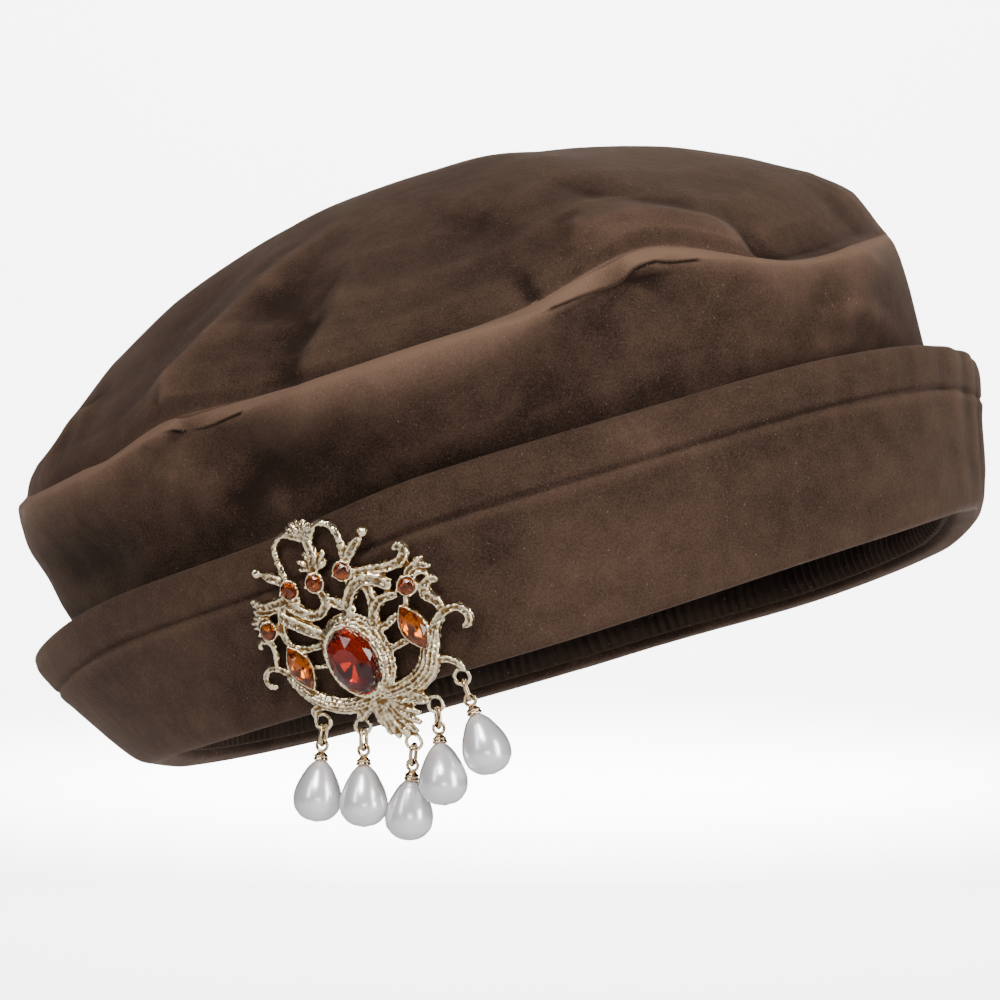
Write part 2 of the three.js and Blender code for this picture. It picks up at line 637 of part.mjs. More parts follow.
// The outline of a stone at one of its corners, on the chart, grown by a distance
function stoneCorner(stone, corner, grown, share) {
  const turn = (corner / stone.sides) * 2 * Math.PI;
  const halfLength = (stone.cut.length / 2) * share + grown;
  const halfWidth = (stone.cut.width / 2) * share + grown;
  const isPointed = stone.cut === marquiseStone;
  const along = Math.cos(turn);
  const across = isPointed ? Math.sign(Math.sin(turn)) * (1 - along * along) : Math.sin(turn);
  const spot = new THREE.Vector2(across * halfWidth, along * halfLength);
  spot.rotateAround(new THREE.Vector2(), rad(stone.turn));
  return [stone.at[0] + spot.x / chart, stone.at[1] + spot.y / chartUp];
}

function stoneRing(stone, grown, share, height, halfStep) {
  const ring = [];
  for (let corner = 0; corner < stone.sides; corner += 1) {
    ring.push(onBrooch(stoneCorner(stone, corner + halfStep, grown, share), height));
  }
  return ring;
}

// A cut stone: table, crown facets, girdle and a short pavilion
function cutStone(stone, grown) {
  const rise = stone.cut.rise + grown;
  const seat = stone.seat * collarHeight;
  return loft([
    stoneRing(stone, grown, 0.45, seat - pavilionDepth - grown, 0),
    stoneRing(stone, grown, 1, seat, 0),
    stoneRing(stone, grown, 1, seat + girdle, 0),
    stoneRing(stone, grown, 0.82, seat + girdle + 0.62 * (rise - girdle), 0.5),
    stoneRing(stone, grown, 0.56, seat + rise, 0),
  ], false);
}

// The cast collar that a stone sits in
function collar(stone) {
  const seat = stone.seat * collarHeight;
  const rim = stone.rim * collarRim;
  return loft([
    stoneRing(stone, rim, 1, 0, 0),
    stoneRing(stone, rim, 1, seat + girdle / 2, 0),
    stoneRing(stone, 0, 0.9, seat + collarLip, 0),
  ], false);
}

// A wire ring or a long link: straight flanks of a length between two round ends
function wireLoop(radius, straight, wire, steps) {
  const rings = [];
  for (let step = 0; step < steps; step += 1) {
    const turn = (step / steps) * 2 * Math.PI;
    const outward = new THREE.Vector3(Math.cos(turn), Math.sin(turn), 0);
    const middle = outward.clone().multiplyScalar(radius);
    middle.y += Math.sign(Math.round(outward.y * 1e6)) * straight / 2;
    const ring = [];
    for (let side = 0; side < wireSides; side += 1) {
      const around = (side / wireSides) * 2 * Math.PI;
      const spot = middle.clone().addScaledVector(outward, wire * Math.cos(around));
      spot.z += wire * Math.sin(around);
      ring.push(spot);
    }
    rings.push(ring);
  }
  return loft(rings, true);
}

// The brooch lies on the cuff's front: its middle, and its own right, up and outward directions
function broochMatrix() {
  const a = rad(broochPlace.angle);
  const step = 0.02;
  const face = (angle, level) => {
    const above = cuffProfile.findIndex((row) => row.level >= level);
    const [low, high] = [cuffProfile[above - 1], cuffProfile[above]];
    const share = (level - low.level) / (high.level - low.level);
    return cuffPoint(angle, level, lerp(low.out, high.out, share), 0);
  };
  const middle = face(a, broochPlace.level + step);
  const right = face(a + step, broochPlace.level + step).sub(face(a - step, broochPlace.level + step)).normalize();
  const up = face(a, 0.62).sub(face(a, 0.1)).normalize();
  const outward = right.clone().cross(up).normalize();
  up.crossVectors(outward, right).normalize();
  right.applyAxisAngle(outward, rad(broochTurn));
  up.applyAxisAngle(outward, rad(broochTurn));
  middle.addScaledVector(outward, seatGap + broochStandOff);
  return new THREE.Matrix4().makeBasis(right, up, outward).setPosition(middle);
}

const brooch = new THREE.Group();
brooch.matrix.copy(broochMatrix());
brooch.matrix.decompose(brooch.position, brooch.quaternion, brooch.scale);

function broochFrame() {
  const parts = scrolls.map((row) => castBar(scrollLine(row)));
  for (const fan of fans) {
    for (const tip of fan.tips) {
      parts.push(castBar(scrollLine({ from: fan.foot, to: tip, bow: 0, half: fan.half })));
    }
  }
  for (const ball of balls) {
    const round = new THREE.IcosahedronGeometry(ball.radius * chart, 1);
    const middle = onBrooch(ball.at, ball.radius * chart);
    parts.push(round.translate(middle.x, middle.y, middle.z));
  }
  for (const stone of stoneSeats) {
    parts.push(collar(stone));
  }
  for (const drop of drops) {
    const middle = onBrooch(drop.ring, frameBase / 2);
    const ring = wireLoop(ringRadius, 0, ringWire, 10);
    parts.push(ring.translate(middle.x, middle.y, middle.z));
  }
  let solid = toSolid(parts[0]);
  for (const part of parts.slice(1)) {
    solid = solid.add(toSolid(part));
  }
  for (const stone of stoneSeats) {
    solid = solid.subtract(toSolid(cutStone(stone, seatGap)));
  }
  return solid;
}

// The hidden pin: a wire that goes in through the cuff, along behind it and out again
const pinEnds = [[-12.5, 3], [15, 1.1]];
const pinDepth = broochStandOff + cuffWall + pinWire + 3 * seatGap;

function pinPath() {
  const front = -seatGap - pinWire;
  const [left, right] = pinEnds.map((end) => onBrooch(end, 0));
  return [
    new THREE.Vector3(left.x, left.y, left.z + front + pinWire),
    new THREE.Vector3(left.x, left.y, left.z - pinDepth),
    new THREE.Vector3(right.x, right.y, right.z - pinDepth),
    new THREE.Vector3(right.x, right.y, right.z + front + pinWire),
  ];
}

function wireAlong(path, radius) {
  const rings = path.map((spot, place) => {
    const before = path[Math.max(0, place - 1)];
    const after = path[Math.min(path.length - 1, place + 1)];
    const back = spot.clone().sub(before).normalize();
    const ahead = after.clone().sub(spot).normalize();
    const heading = back.add(ahead).normalize();
    const across = new THREE.Vector3(0, 1, 0);
    const side = across.clone().cross(heading).normalize();
    const isCorner = place > 0 && place < path.length - 1;
    const stretch = isCorner ? Math.SQRT2 : 1;
    const ring = [];
    for (let turn = 0; turn < wireSides; turn += 1) {
      const angle = (turn / wireSides) * 2 * Math.PI;
      const point = spot.clone().addScaledVector(side, radius * stretch * Math.cos(angle));
      ring.push(point.addScaledVector(heading.clone().cross(side), radius * Math.sin(angle)));
    }
    return ring;
  });
  return loft(rings, false);
}

// Drops hang from the brooch's rings, straight down but for a small lean
const pearlProfile = [
  { down: 0, half: 0.25 },
  { down: 0.12, half: 0.5 },
  { down: 0.38, half: 0.85 },
  { down: 0.62, half: 1 },
  { down: 0.78, half: 0.93 },
  { down: 0.92, half: 0.62 },
  { down: 1, half: 0.22 },
];

function turned(rows) {
  return loft(rows.map(({ height, radius }) => {
    const ring = [];
    for (let step = 0; step < beadSides; step += 1) {
      const turn = (step / beadSides) * 2 * Math.PI;
      ring.push(new THREE.Vector3(radius * Math.cos(turn), height, radius * Math.sin(turn)));
    }
    return ring;
  }), false);
}

function capWithEye() {
  const top = -eyeRadius - eyeWire / 2;
  const cup = turned([
    { height: top, radius: capRadius * 0.45 },
    { height: top - capHeight * 0.45, radius: capRadius },
    { height: top - capHeight, radius: capRadius * 0.92 },
  ]);
  return fromSolid(toSolid(wireLoop(eyeRadius, 0, eyeWire, 10)).add(toSolid(cup)));
}

function pearl() {
  const top = -eyeRadius - eyeWire / 2 - capHeight - seatGap;
  const rows = pearlProfile.map(({ down, half }) => (
    { height: top - down * pearlLength, radius: half * pearlWidth / 2 }
  ));
  return turned(rows);
}

function addDrop(drop, number) {
  const world = brooch.matrixWorld;
  const middle = onBrooch(drop.ring, frameBase / 2).applyMatrix4(world);
  const facing = new THREE.Vector3(0, 0, 1).transformDirection(world);
  const lean = rad(drop.lean);
  const down = new THREE.Vector3(Math.sin(lean), -Math.sin(rad(drop.forward)), -Math.cos(lean)).normalize();
  const inRing = down.clone().addScaledVector(facing, -down.dot(facing)).normalize();
  const ringFoot = middle.clone().addScaledVector(inRing, ringRadius);
  const along = facing.clone().cross(inRing).normalize();
  const through = down.clone().cross(along).normalize();
  const linkAcross = along.multiplyScalar(Math.cos(rad(drop.turn))).addScaledVector(through, Math.sin(rad(drop.turn)));
  const up = down.clone().negate();
  const linkTop = -(2 * ringWire + seatGap);
  const linkMiddle = ringFoot.clone().addScaledVector(down, linkTop + linkLength / 2);
  const eyeTop = linkTop + linkLength - ringWire - eyeWire - seatGap;
  const eyeMiddle = ringFoot.clone().addScaledVector(down, eyeTop + eyeRadius);
  const linkFacing = linkAcross.clone().cross(up).normalize();
  const turnedTo = (across, place) => {
    const basis = new THREE.Matrix4().makeBasis(across, up, across.clone().cross(up));
    const holder = new THREE.Group();
    holder.quaternion.setFromRotationMatrix(basis);
    holder.position.copy(place);
    hat.add(holder);
    return holder;
  };
  const link = wireLoop(linkHalfWidth, linkLength - 2 * linkHalfWidth, ringWire, 10);
  const dropHolder = turnedTo(linkFacing, eyeMiddle);
  addPiece(turnedTo(linkAcross, linkMiddle), `link_${number}`, link, plainBrass);
  addPiece(dropHolder, `cap_${number}`, capWithEye(), plainBrass);
  addPiece(dropHolder, `pearl_${number}`, pearl(), pearlWhite);
}

// The cuff with the pin's two clearance holes
function cuffWithPinHoles() {
  let solid = toSolid(cuffShell());
  const path = pinPath();
  const toHat = brooch.matrix;
  for (const [near, far] of [[path[0], path[1]], [path[3], path[2]]]) {
    const hole = wireAlong([near, far], pinWire + seatGap);
    solid = solid.subtract(toSolid(hole.applyMatrix4(toHat)));
  }
  return fromSolid(solid);
}

addPiece(worn, "crown_tip", crownTip(), velvet);
addPiece(worn, "crown_side", crownSide(), velvet);
addPiece(worn, "cuff", cuffWithPinHoles(), velvet);
addPiece(worn, "inner_band", innerBand(), gatheredVelvet);

worn.add(brooch);
addPiece(brooch, "brooch_frame", fromSolid(broochFrame()), paleGold);
addPiece(brooch, "brooch_pin", wireAlong(pinPath(), pinWire), plainBrass);
for (const stone of stoneSeats) {
  addPiece(brooch, stone.name, cutStone(stone, 0), stone.cut === ovalStone ? redAmber : amber);
}

hat.updateMatrixWorld(true);
drops.forEach((drop, place) => addDrop(drop, place + 1));

export default hat;
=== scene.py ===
import math
from collections import namedtuple

import bmesh
import bpy
import mathutils.noise
import numpy as np
from mathutils import Matrix, Vector


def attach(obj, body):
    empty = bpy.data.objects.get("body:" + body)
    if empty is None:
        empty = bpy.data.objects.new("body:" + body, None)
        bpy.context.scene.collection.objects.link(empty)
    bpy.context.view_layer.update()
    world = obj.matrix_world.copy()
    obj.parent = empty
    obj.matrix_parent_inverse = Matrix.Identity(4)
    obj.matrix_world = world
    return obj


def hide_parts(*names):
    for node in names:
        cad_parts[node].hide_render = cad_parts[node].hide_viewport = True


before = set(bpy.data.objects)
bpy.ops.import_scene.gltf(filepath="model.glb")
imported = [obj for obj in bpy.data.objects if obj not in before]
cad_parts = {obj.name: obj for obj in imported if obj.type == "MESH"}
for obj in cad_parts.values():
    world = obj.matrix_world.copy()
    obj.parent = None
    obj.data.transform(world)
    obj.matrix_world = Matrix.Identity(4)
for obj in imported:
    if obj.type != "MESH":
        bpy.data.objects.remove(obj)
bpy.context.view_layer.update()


# Crown side. The velvet band between the seam ring and the head opening, cut deep and eased into
# the cuff, so that it falls in soft folds. It is joined to the tip along the seam ring and tacked
# to the gathered band inside.
MM = 0.001
SIDE_LEAN = math.radians(-17.1)
BACK_LEAN = math.radians(-4.2)
WORN = Matrix.Rotation(SIDE_LEAN, 3, "Y") @ Matrix.Rotation(BACK_LEAN, 3, "X")
HEAD_HALF = (93, 99)
OVERHANG = {"left": 19.5, "right": 7.5, "front": 10, "back": 10}
SEAM_HEIGHT = 70.0
CROWN_BULGE = 5.0
CROWN_WALL = 2.0
CROWN_FOOT = 4.9
CROWN_DROP = 3.4
SEAM_GAP = 0.15
RIM_SADDLE = 6.0
CROWDING = 0.38
COURSE_STEPS = 6
FOLD_BLEND = 4.0
SLACK_WAVES = 14
LEFT_END = 80
SEAM_TUCK = 2.0
# Gains of the painted fold light: relief at two smoothing scales lightens crests and darkens valleys
PAINTED_FOLD_LIGHT_GAINS = [(16, 160), (110, 110)]
SIDE_ROWS = (84, 12)
SIDE_STEPS = 800


def table(columns, rows):
    """A table whose columns are read by name."""
    return np.array(rows, dtype=[(name, float) for name in columns.split()])


def smooth_step(near, t):
    """The smooth value at share t of the way from the second of four neighbours to the third."""
    rise, fall = (near[2] - near[0]) / 2, (near[3] - near[1]) / 2
    return (near[1] * (2 * t**3 - 3 * t**2 + 1) + rise * (t**3 - 2 * t**2 + t)
            + near[2] * (3 * t**2 - 2 * t**3) + fall * (t**3 - t**2))


def eased(x, places, values, turn=None):
    """A smooth value between the rows of a table, which may close on itself after a full turn."""
    places, values, x = (np.asarray(part, float) for part in (places, values, x))
    if turn:
        places = np.concatenate([places[-2:] - turn, places, places[:2] + turn])
        values = np.concatenate([values[-2:], values, values[:2]])
        x = (x - places[2]) % turn + places[2]
    else:
        places = np.concatenate([[2 * places[0] - places[1]], places, [2 * places[-1] - places[-2]]])
        values = np.concatenate([values[:1], values, values[-1:]])
    row = np.clip(np.searchsorted(places, x, side="right") - 1, 1, len(places) - 3)
    t = (x - places[row]) / (places[row + 1] - places[row])
    return smooth_step([values[row + step] for step in (-1, 0, 1, 2)], t)


def around(rows, column, a):
    return eased(np.degrees(a), rows["at"], rows[column], 360)


SEAM_RING = table("at level reach", [
    (-180, 1.02, 1), (-120, 1, 1), (-90, 1, 1), (-70, 0.96, 1), (-52, 0.97, 0.99),
    (-40, 1.03, 0.98), (-20, 1, 1), (5, 1.02, 1), (25, 1.1, 0.97), (45, 0.93, 1),
    (65, 0.93, 1), (90, 0.98, 1), (130, 1, 1)])
RIM_DROP = table("at drop", [
    (-180, 0.75), (-140, 0.55), (-106, 0.25), (-90, 0), (-45, 0.42), (0, 0.83), (45, 0.42),
    (82, 0), (95, 0.35), (110, 0.85), (140, 1.05), (165, 0.8)])
SIDE_PROFILE = table("level left right front back", [
    (0, 0, 0, 0, 0), (0.42, 0.6, 0.2, -0.2, -0.15), (0.56, 0.85, 0.25, -0.45, -0.4),
    (0.68, 0.82, 0.28, 0.2, 0.2), (0.8, 0.95, 0.28, 0.75, 0.55), (0.9, 0.7, 0.22, 0.98, 0.75),
    (0.96, 0.4, 0.12, 0.7, 0.5), (1, 0, 0, 0, 0)])


def mixed(rows, key, x, a):
    """Blends a table's left, right, front and back columns round the hat."""
    s, c = np.sin(a), np.cos(a)
    shares = {"left": np.where(s < 0, s * s, 0), "right": np.where(s > 0, s * s, 0),
              "front": np.where(c > 0, c * c, 0), "back": np.where(c < 0, c * c, 0)}
    return sum(share * eased(x, rows[key], rows[side]) for side, share in shares.items())


def saddle(a):
    return -RIM_SADDLE * around(RIM_DROP, "drop", a)


def head_oval(a, grown):
    return (HEAD_HALF[0] + grown) * np.sin(a), -(HEAD_HALF[1] + grown) * np.cos(a)


def seam_oval(a):
    reach = around(SEAM_RING, "reach", a)
    across = HEAD_HALF[0] + np.where(np.sin(a) > 0, OVERHANG["right"], OVERHANG["left"])
    along = HEAD_HALF[1] + np.where(np.cos(a) > 0, OVERHANG["front"], OVERHANG["back"])
    return reach * across * np.sin(a), -reach * along * np.cos(a)


def seam_level(a):
    return SEAM_HEIGHT * around(SEAM_RING, "level", a)


def side_base(a, level):
    foot_x, foot_y = head_oval(a, CROWN_FOOT)
    seam_x, seam_y = seam_oval(a)
    bulge = CROWN_BULGE * mixed(SIDE_PROFILE, "level", level, a)
    height = CROWN_DROP + (seam_level(a) - SEAM_GAP - CROWN_DROP) * level + saddle(a)
    return np.stack([foot_x + (seam_x - foot_x) * level + bulge * np.sin(a),
                     foot_y + (seam_y - foot_y) * level - bulge * np.cos(a), height], -1)


def outward(face, a, row):
    """The direction out of a face that is given by an angle and a row."""
    tiny = 0.004
    low, high = np.clip(row - tiny, 0, 1), np.clip(row + tiny, 0, 1)
    round_way = face(a + tiny, np.maximum(row, tiny)) - face(a - tiny, np.maximum(row, tiny))
    normal = np.cross(round_way, face(a, high) - face(a, low))
    return normal / np.maximum(np.linalg.norm(normal, axis=-1, keepdims=True), 1e-12)


def fold_line(points, spot_of):
    """A fold's smooth course through its points, in millimetres on the flat."""
    points = np.array(points, float)
    t = np.linspace(0, len(points) - 1, COURSE_STEPS * (len(points) - 1) + 1)
    rows = np.arange(len(points))
    return spot_of(np.radians(eased(t, rows, points[:, 0])), eased(t, rows, points[:, 1]))


def fold_lift(folds, spot_of, a, row):
    """The lift of all folds at each place: crests are positive and valleys negative."""
    here = spot_of(a, row)[:, None]
    lift = np.zeros(len(here))
    for fold in folds:
        line = fold_line(fold["through"], spot_of)
        starts, ways = line[:-1], np.diff(line, axis=0)
        t = np.clip(((here - starts) * ways).sum(-1) / np.maximum((ways**2).sum(-1), 1e-9), 0, 1)
        offset = here - starts - t[..., None] * ways
        far = np.hypot(offset[..., 0], offset[..., 1])
        away = far.min(axis=1)
        weight = np.exp(-(((far - away[:, None]) / FOLD_BLEND) ** 2))
        weight /= weight.sum(axis=1, keepdims=True)
        is_left = ways[:, 0] * offset[..., 1] > ways[:, 1] * offset[..., 0]
        width = (weight * np.where(is_left, fold["left"], fold["right"])).sum(axis=1)
        along = (weight * (np.arange(len(starts)) + t) / len(starts)).sum(axis=1)
        crisp = fold["crisp"]
        soft = (np.sqrt(away**2 + crisp**2) - crisp) / width
        start, end = fold["fade"]
        strength = np.clip(along / max(start, 1e-6), 0, 1) * np.clip((1 - along) / max(end, 1e-6), 0, 1)
        strength = strength**2 * (3 - 2 * strength)
        lift += fold["lift"] * strength * np.exp(-soft**fold["shape"])
    return lift


def fold(lift, left, right, through, crisp=0.8, shape=1.4, fade=(0.2, 0.2)):
    return {"lift": lift, "left": left, "right": right, "through": through, "crisp": crisp,
            "shape": shape, "fade": fade}


def slack(a, row, size, seed):
    """The small unevenness of cloth that nothing pulls flat, from a few crossing waves."""
    waves = np.random.default_rng(seed)
    total = np.zeros(len(a))
    for _ in range(SLACK_WAVES):
        turns = waves.integers(2, 13)
        rows = waves.uniform(-9, 9)
        total += np.sin(turns * a + rows * row + waves.uniform(0, 6.28)) / (1 + 0.12 * turns)
    return size * total / 4


SIDE_FOLDS = [
    fold(-5.6, 12, 14, [(-38.6, 0.97), (-36, 0.93), (-33.6, 0.847), (-31.4, 0.749), (-30.2, 0.672),
                        (-28.2, 0.56)],
         crisp=3, fade=(0.15, 0.3)),
    fold(2.6, 9, 9, [(-43, 0.93), (-40.5, 0.85), (-37.5, 0.74), (-34, 0.63)], crisp=2, fade=(0.3, 0.3)),
    fold(-5.4, 13, 15, [(22.5, 0.975), (20, 0.95), (16.6, 0.849), (11.2, 0.77), (5.4, 0.717), (0.4, 0.674),
                        (-7, 0.61)], crisp=3, fade=(0.15, 0.4)),
    fold(-3.4, 11, 11, [(25.5, 0.95), (26.6, 0.896), (27.8, 0.833), (29.8, 0.733), (32.2, 0.631),
                        (37.4, 0.582)],
         crisp=4, fade=(0.25, 0.4)),
    fold(2.4, 8, 8, [(-27, 0.9), (-20, 0.9), (-8, 0.91), (3.5, 0.92), (12, 0.9)], crisp=2, fade=(0.3, 0.3)),
    fold(-2, 13, 13, [(-22.2, 0.82), (-19.8, 0.69), (-15.2, 0.58)], crisp=3, fade=(0.4, 0.4)),
    fold(3.4, 13, 8, [(58.8, 0.982), (56.4, 0.933), (54.4, 0.882), (53.4, 0.835), (52.8, 0.725),
                      (53.8, 0.664)],
         crisp=1.5, fade=(0.15, 0.35)),
    fold(-1.4, 8, 8, [(47, 0.9), (45, 0.78), (46, 0.66)], crisp=2, fade=(0.4, 0.4)),
    fold(2, 8, 7, [(-78, 0.93), (-65, 0.92), (-55, 0.93), (-47, 0.95)], crisp=2, fade=(0.3, 0.3)),
    fold(-2.2, 9, 10, [(-75, 0.72), (-62, 0.66), (-50, 0.6)], crisp=2, fade=(0.4, 0.4)),
    fold(1.6, 10, 10, [(35, 0.88), (42, 0.86), (48, 0.88)], crisp=2, fade=(0.4, 0.4)),
]


def side_flat(a, row):
    return np.stack([a * (HEAD_HALF[1] + 8), row * SEAM_HEIGHT], -1)


def seam_pull(a):
    """How deep the seam is turned in: less over the wearer's left, where the cloth is stretched."""
    return 1 - 0.8 * np.exp(-(((np.degrees(a) - LEFT_END) / 35) ** 2))


def side_face(a, level):
    free = np.clip((level - 0.4) / 0.25, 0, 1)
    lift = fold_lift(SIDE_FOLDS, side_flat, a, level) * np.clip((1 - level) / 0.03, 0, 1)
    lift += slack(a, level, 0.3, 3) * np.clip((1 - level) / 0.1, 0, 1)
    tuck = -SEAM_TUCK * seam_pull(a) * np.clip((level - 0.945) / 0.055, 0, 1) ** 2
    return side_base(a, level) + outward(side_base, a, level) * (lift * free + tuck)[:, None]


def walled_ring(name, rows, place, steps=400):
    """A closed cloth ring: a circle is drawn up row by row and its last row joined to its first."""
    bm = bmesh.new()
    first = bmesh.ops.create_circle(bm, segments=steps, radius=1)["verts"]
    loop = list({edge for vert in first for edge in vert.link_edges})
    start = loop
    for _ in range(rows - 1):
        made = bmesh.ops.extrude_edge_only(bm, edges=loop)["geom"]
        points = [part for part in made if isinstance(part, bmesh.types.BMVert)]
        bmesh.ops.translate(bm, verts=points, vec=(0, 0, 1))
        loop = [part for part in made if isinstance(part, bmesh.types.BMEdge)]
    bmesh.ops.bridge_loops(bm, edges=start + loop)
    return placed(name, bm, place)


def numbers_of(items, label, kind=float, width=3):
    """One property of all of a mesh's points or edges, a row each."""
    flat = np.empty(len(items) * width, dtype=kind)
    items.foreach_get(label, flat)
    return flat.reshape(-1, width)


def relaxed(points, pairs, rounds, pull):
    """Moves each point towards its neighbours' middle, some rounds over."""
    size = len(points)
    count = np.bincount(pairs.ravel(), minlength=size)[:, None]
    first, second = pairs.T
    for _ in range(rounds):
        total = np.stack([np.bincount(first, column[second], size) + np.bincount(second, column[first], size)
                          for column in points.T], -1)
        points = points + pull * (total / count - points)
    return points


def relief_of(mesh, rounds):
    """How far each point stands out of the same surface relaxed, in the mesh's own unit."""
    points = numbers_of(mesh.vertices, "co")
    pairs = numbers_of(mesh.edges, "vertices", int, 2)
    raised = points - relaxed(points, pairs, rounds, 0.5)
    return np.einsum("ij,ij->i", raised, numbers_of(mesh.vertices, "normal"))


def noted(mesh, label, values):
    mesh.attributes.new(label, "FLOAT", "POINT").data.foreach_set("value", np.clip(values, 0, 1))


def mesh_of(name, bm):
    mesh = bpy.data.meshes.new(name)
    bm.to_mesh(mesh)
    bm.free()
    return mesh


def shown(name, data):
    """Puts a mesh, lamp or camera in the scene."""
    piece = bpy.data.objects.new(name, data)
    bpy.context.collection.objects.link(piece)
    return piece


def placed(name, bm, place):
    """Makes an object of a drawn form, whose points place() moves onto the tilted hat."""
    mesh = mesh_of(name, bm)
    flat = numbers_of(mesh.vertices, "co")
    even = np.arctan2(flat[:, 0], -flat[:, 1])
    spots = place(even - CROWDING * np.sin(even), flat)
    mesh.vertices.foreach_set("co", (spots @ np.array(WORN).T * MM).ravel())
    bm = bmesh.new()
    bm.from_mesh(mesh)
    bmesh.ops.remove_doubles(bm, verts=bm.verts, dist=1e-7)
    bmesh.ops.recalc_face_normals(bm, faces=bm.faces)
    bm.to_mesh(mesh)
    bm.free()
    mesh.shade_smooth()
    # The crest attribute is painted light: a painted highlight on fold crests and painted shade in fold
    # valleys
    noted(mesh, "crest", 0.5 + sum(gain * relief_of(mesh, rounds) for rounds, gain in PAINTED_FOLD_LIGHT_GAINS))
    return shown(name, mesh)


def wall_place(face, out_rows, in_rows, wall):
    """Places a walled ring: its first rows go up the outer face, the others down the inner one."""
    def place(a, flat):
        step = np.rint(flat[:, 2])
        up = step < out_rows
        share = np.where(up, step / (out_rows - 1), 1 - (step - out_rows) / (in_rows - 1))
        share = np.clip(share, 0, 1)
        spots = face(a, share)
        return spots - outward(side_base, a, share) * np.where(up, 0, wall)[:, None]
    return place


def node_group(name, sockets, build):
    """A shader node group with named inputs and outputs."""
    group = bpy.data.node_groups.new(name, "ShaderNodeTree")
    for label, way, kind, value in sockets:
        socket = group.interface.new_socket(name=label, in_out=way, socket_type=kind)
        if value is not None:
            socket.default_value = value
    build(group, group.nodes.new("NodeGroupInput"), group.nodes.new("NodeGroupOutput"))
    return group


def preset(node, values):
    for label, value in values.items():
        node.inputs[label].default_value = value


def object_place(tree):
    return tree.nodes.new("ShaderNodeTexCoord").outputs["Object"]


def noise(tree, scale, detail, roughness, vector):
    node = tree.nodes.new("ShaderNodeTexNoise")
    preset(node, {"Scale": scale, "Detail": detail, "Roughness": roughness})
    tree.links.new(vector, node.inputs["Vector"])
    return node.outputs["Fac"]


def spread(tree, value, low, high, to_low, to_high):
    node = tree.nodes.new("ShaderNodeMapRange")
    preset(node, {"From Min": low, "From Max": high, "To Min": to_low, "To Max": to_high})
    tree.links.new(value, node.inputs["Value"])
    return node.outputs["Result"]


def maths(tree, operation, first, second):
    node = tree.nodes.new("ShaderNodeMath")
    node.operation = operation
    for place, value in enumerate((first, second)):
        if isinstance(value, (int, float)):
            node.inputs[place].default_value = value
        else:
            tree.links.new(value, node.inputs[place])
    return node.outputs["Value"]


def tinted(tree, factor, first, second):
    node = tree.nodes.new("ShaderNodeMix")
    node.data_type = "RGBA"
    for label, value in ((0, factor), (6, first), (7, second)):
        if isinstance(value, (int, float, tuple)):
            node.inputs[label].default_value = value
        else:
            tree.links.new(value, node.inputs[label])
    return node.outputs[2]


def pile_and_fold_light(group, given, made):
    where = object_place(group)
    brushed = spread(group, noise(group, 30, 3, 0.55, where), 0.35, 0.68, 0, 1)
    crushed = spread(group, noise(group, 170, 4, 0.6, where), 0.35, 0.7, 0, 1)
    tufts = noise(group, 2400, 2, 0.6, where)
    dust = spread(group, noise(group, 2100, 1, 0.5, where), 0.74, 0.78, 0, 1)
    marks = maths(group, "MULTIPLY", crushed, given.outputs["Crush"])
    lit = maths(group, "ADD", maths(group, "MULTIPLY", brushed, 0.16), marks)
    lit = maths(group, "ADD", lit, spread(group, tufts, 0.34, 0.66, 0, 0.2))
    # Painted fold light: the crest attribute lightens the cloth on fold crests and darkens it in valleys
    lit = maths(group, "ADD", lit, spread(group, given.outputs["Painted_Fold_Light"], 0, 1, -0.95, 0.85))
    cloth = tinted(group, lit, given.outputs["Deep"], given.outputs["Light"])
    specks = maths(group, "MULTIPLY", dust, given.outputs["Fleck"])
    flecked = tinted(group, specks, cloth, (0.3, 0.25, 0.21, 1))
    fine = maths(group, "MULTIPLY", tufts, 0.6)
    height = maths(group, "ADD", fine, maths(group, "MULTIPLY", crushed, 0.4))
    group.links.new(flecked, made.inputs["Color"])
    group.links.new(height, made.inputs["Height"])


PILE_AND_FOLD_LIGHT = node_group("velvet_pile_and_fold_light", [
    ("Deep", "INPUT", "NodeSocketColor", (0.02, 0.011, 0.007, 1)),
    ("Light", "INPUT", "NodeSocketColor", (0.06, 0.036, 0.025, 1)),
    ("Painted_Fold_Light", "INPUT", "NodeSocketFloat", 0.5),
    ("Crush", "INPUT", "NodeSocketFloat", 0.25),
    ("Fleck", "INPUT", "NodeSocketFloat", 0.35),
    ("Color", "OUTPUT", "NodeSocketColor", None),
    ("Height", "OUTPUT", "NodeSocketFloat", None)], pile_and_fold_light)


def material(name):
    made = bpy.data.materials.new(name)
    made.use_nodes = True
    return made, made.node_tree, made.node_tree.nodes["Principled BSDF"]


def bumped(tree, shader, height, distance, strength=1.0):
    bump = tree.nodes.new("ShaderNodeBump")
    preset(bump, {"Distance": distance, "Strength": strength})
    tree.links.new(height, bump.inputs["Height"])
    tree.links.new(bump.outputs["Normal"], shader.inputs["Normal"])


def velvet(name, deep, light, crush, sheen):
    made, tree, shader = material(name)
    group = tree.nodes.new("ShaderNodeGroup")
    group.node_tree = PILE_AND_FOLD_LIGHT
    preset(group, {"Deep": deep, "Light": light, "Crush": crush})
    # The crest attribute carries the painted highlight on crests and the painted shade in valleys
    crest = tree.nodes.new("ShaderNodeAttribute")
    crest.attribute_name = "crest"
    tree.links.new(crest.outputs["Fac"], group.inputs["Painted_Fold_Light"])
    tree.links.new(group.outputs["Color"], shader.inputs["Base Color"])
    preset(shader, {"Roughness": 0.85, "Specular IOR Level": 0.15, "Sheen Weight": sheen,
                    "Sheen Roughness": 0.42, "Sheen Tint": (0.6, 0.43, 0.33, 1)})
    bumped(tree, shader, group.outputs["Height"], 0.00025, 0.8)
    return made


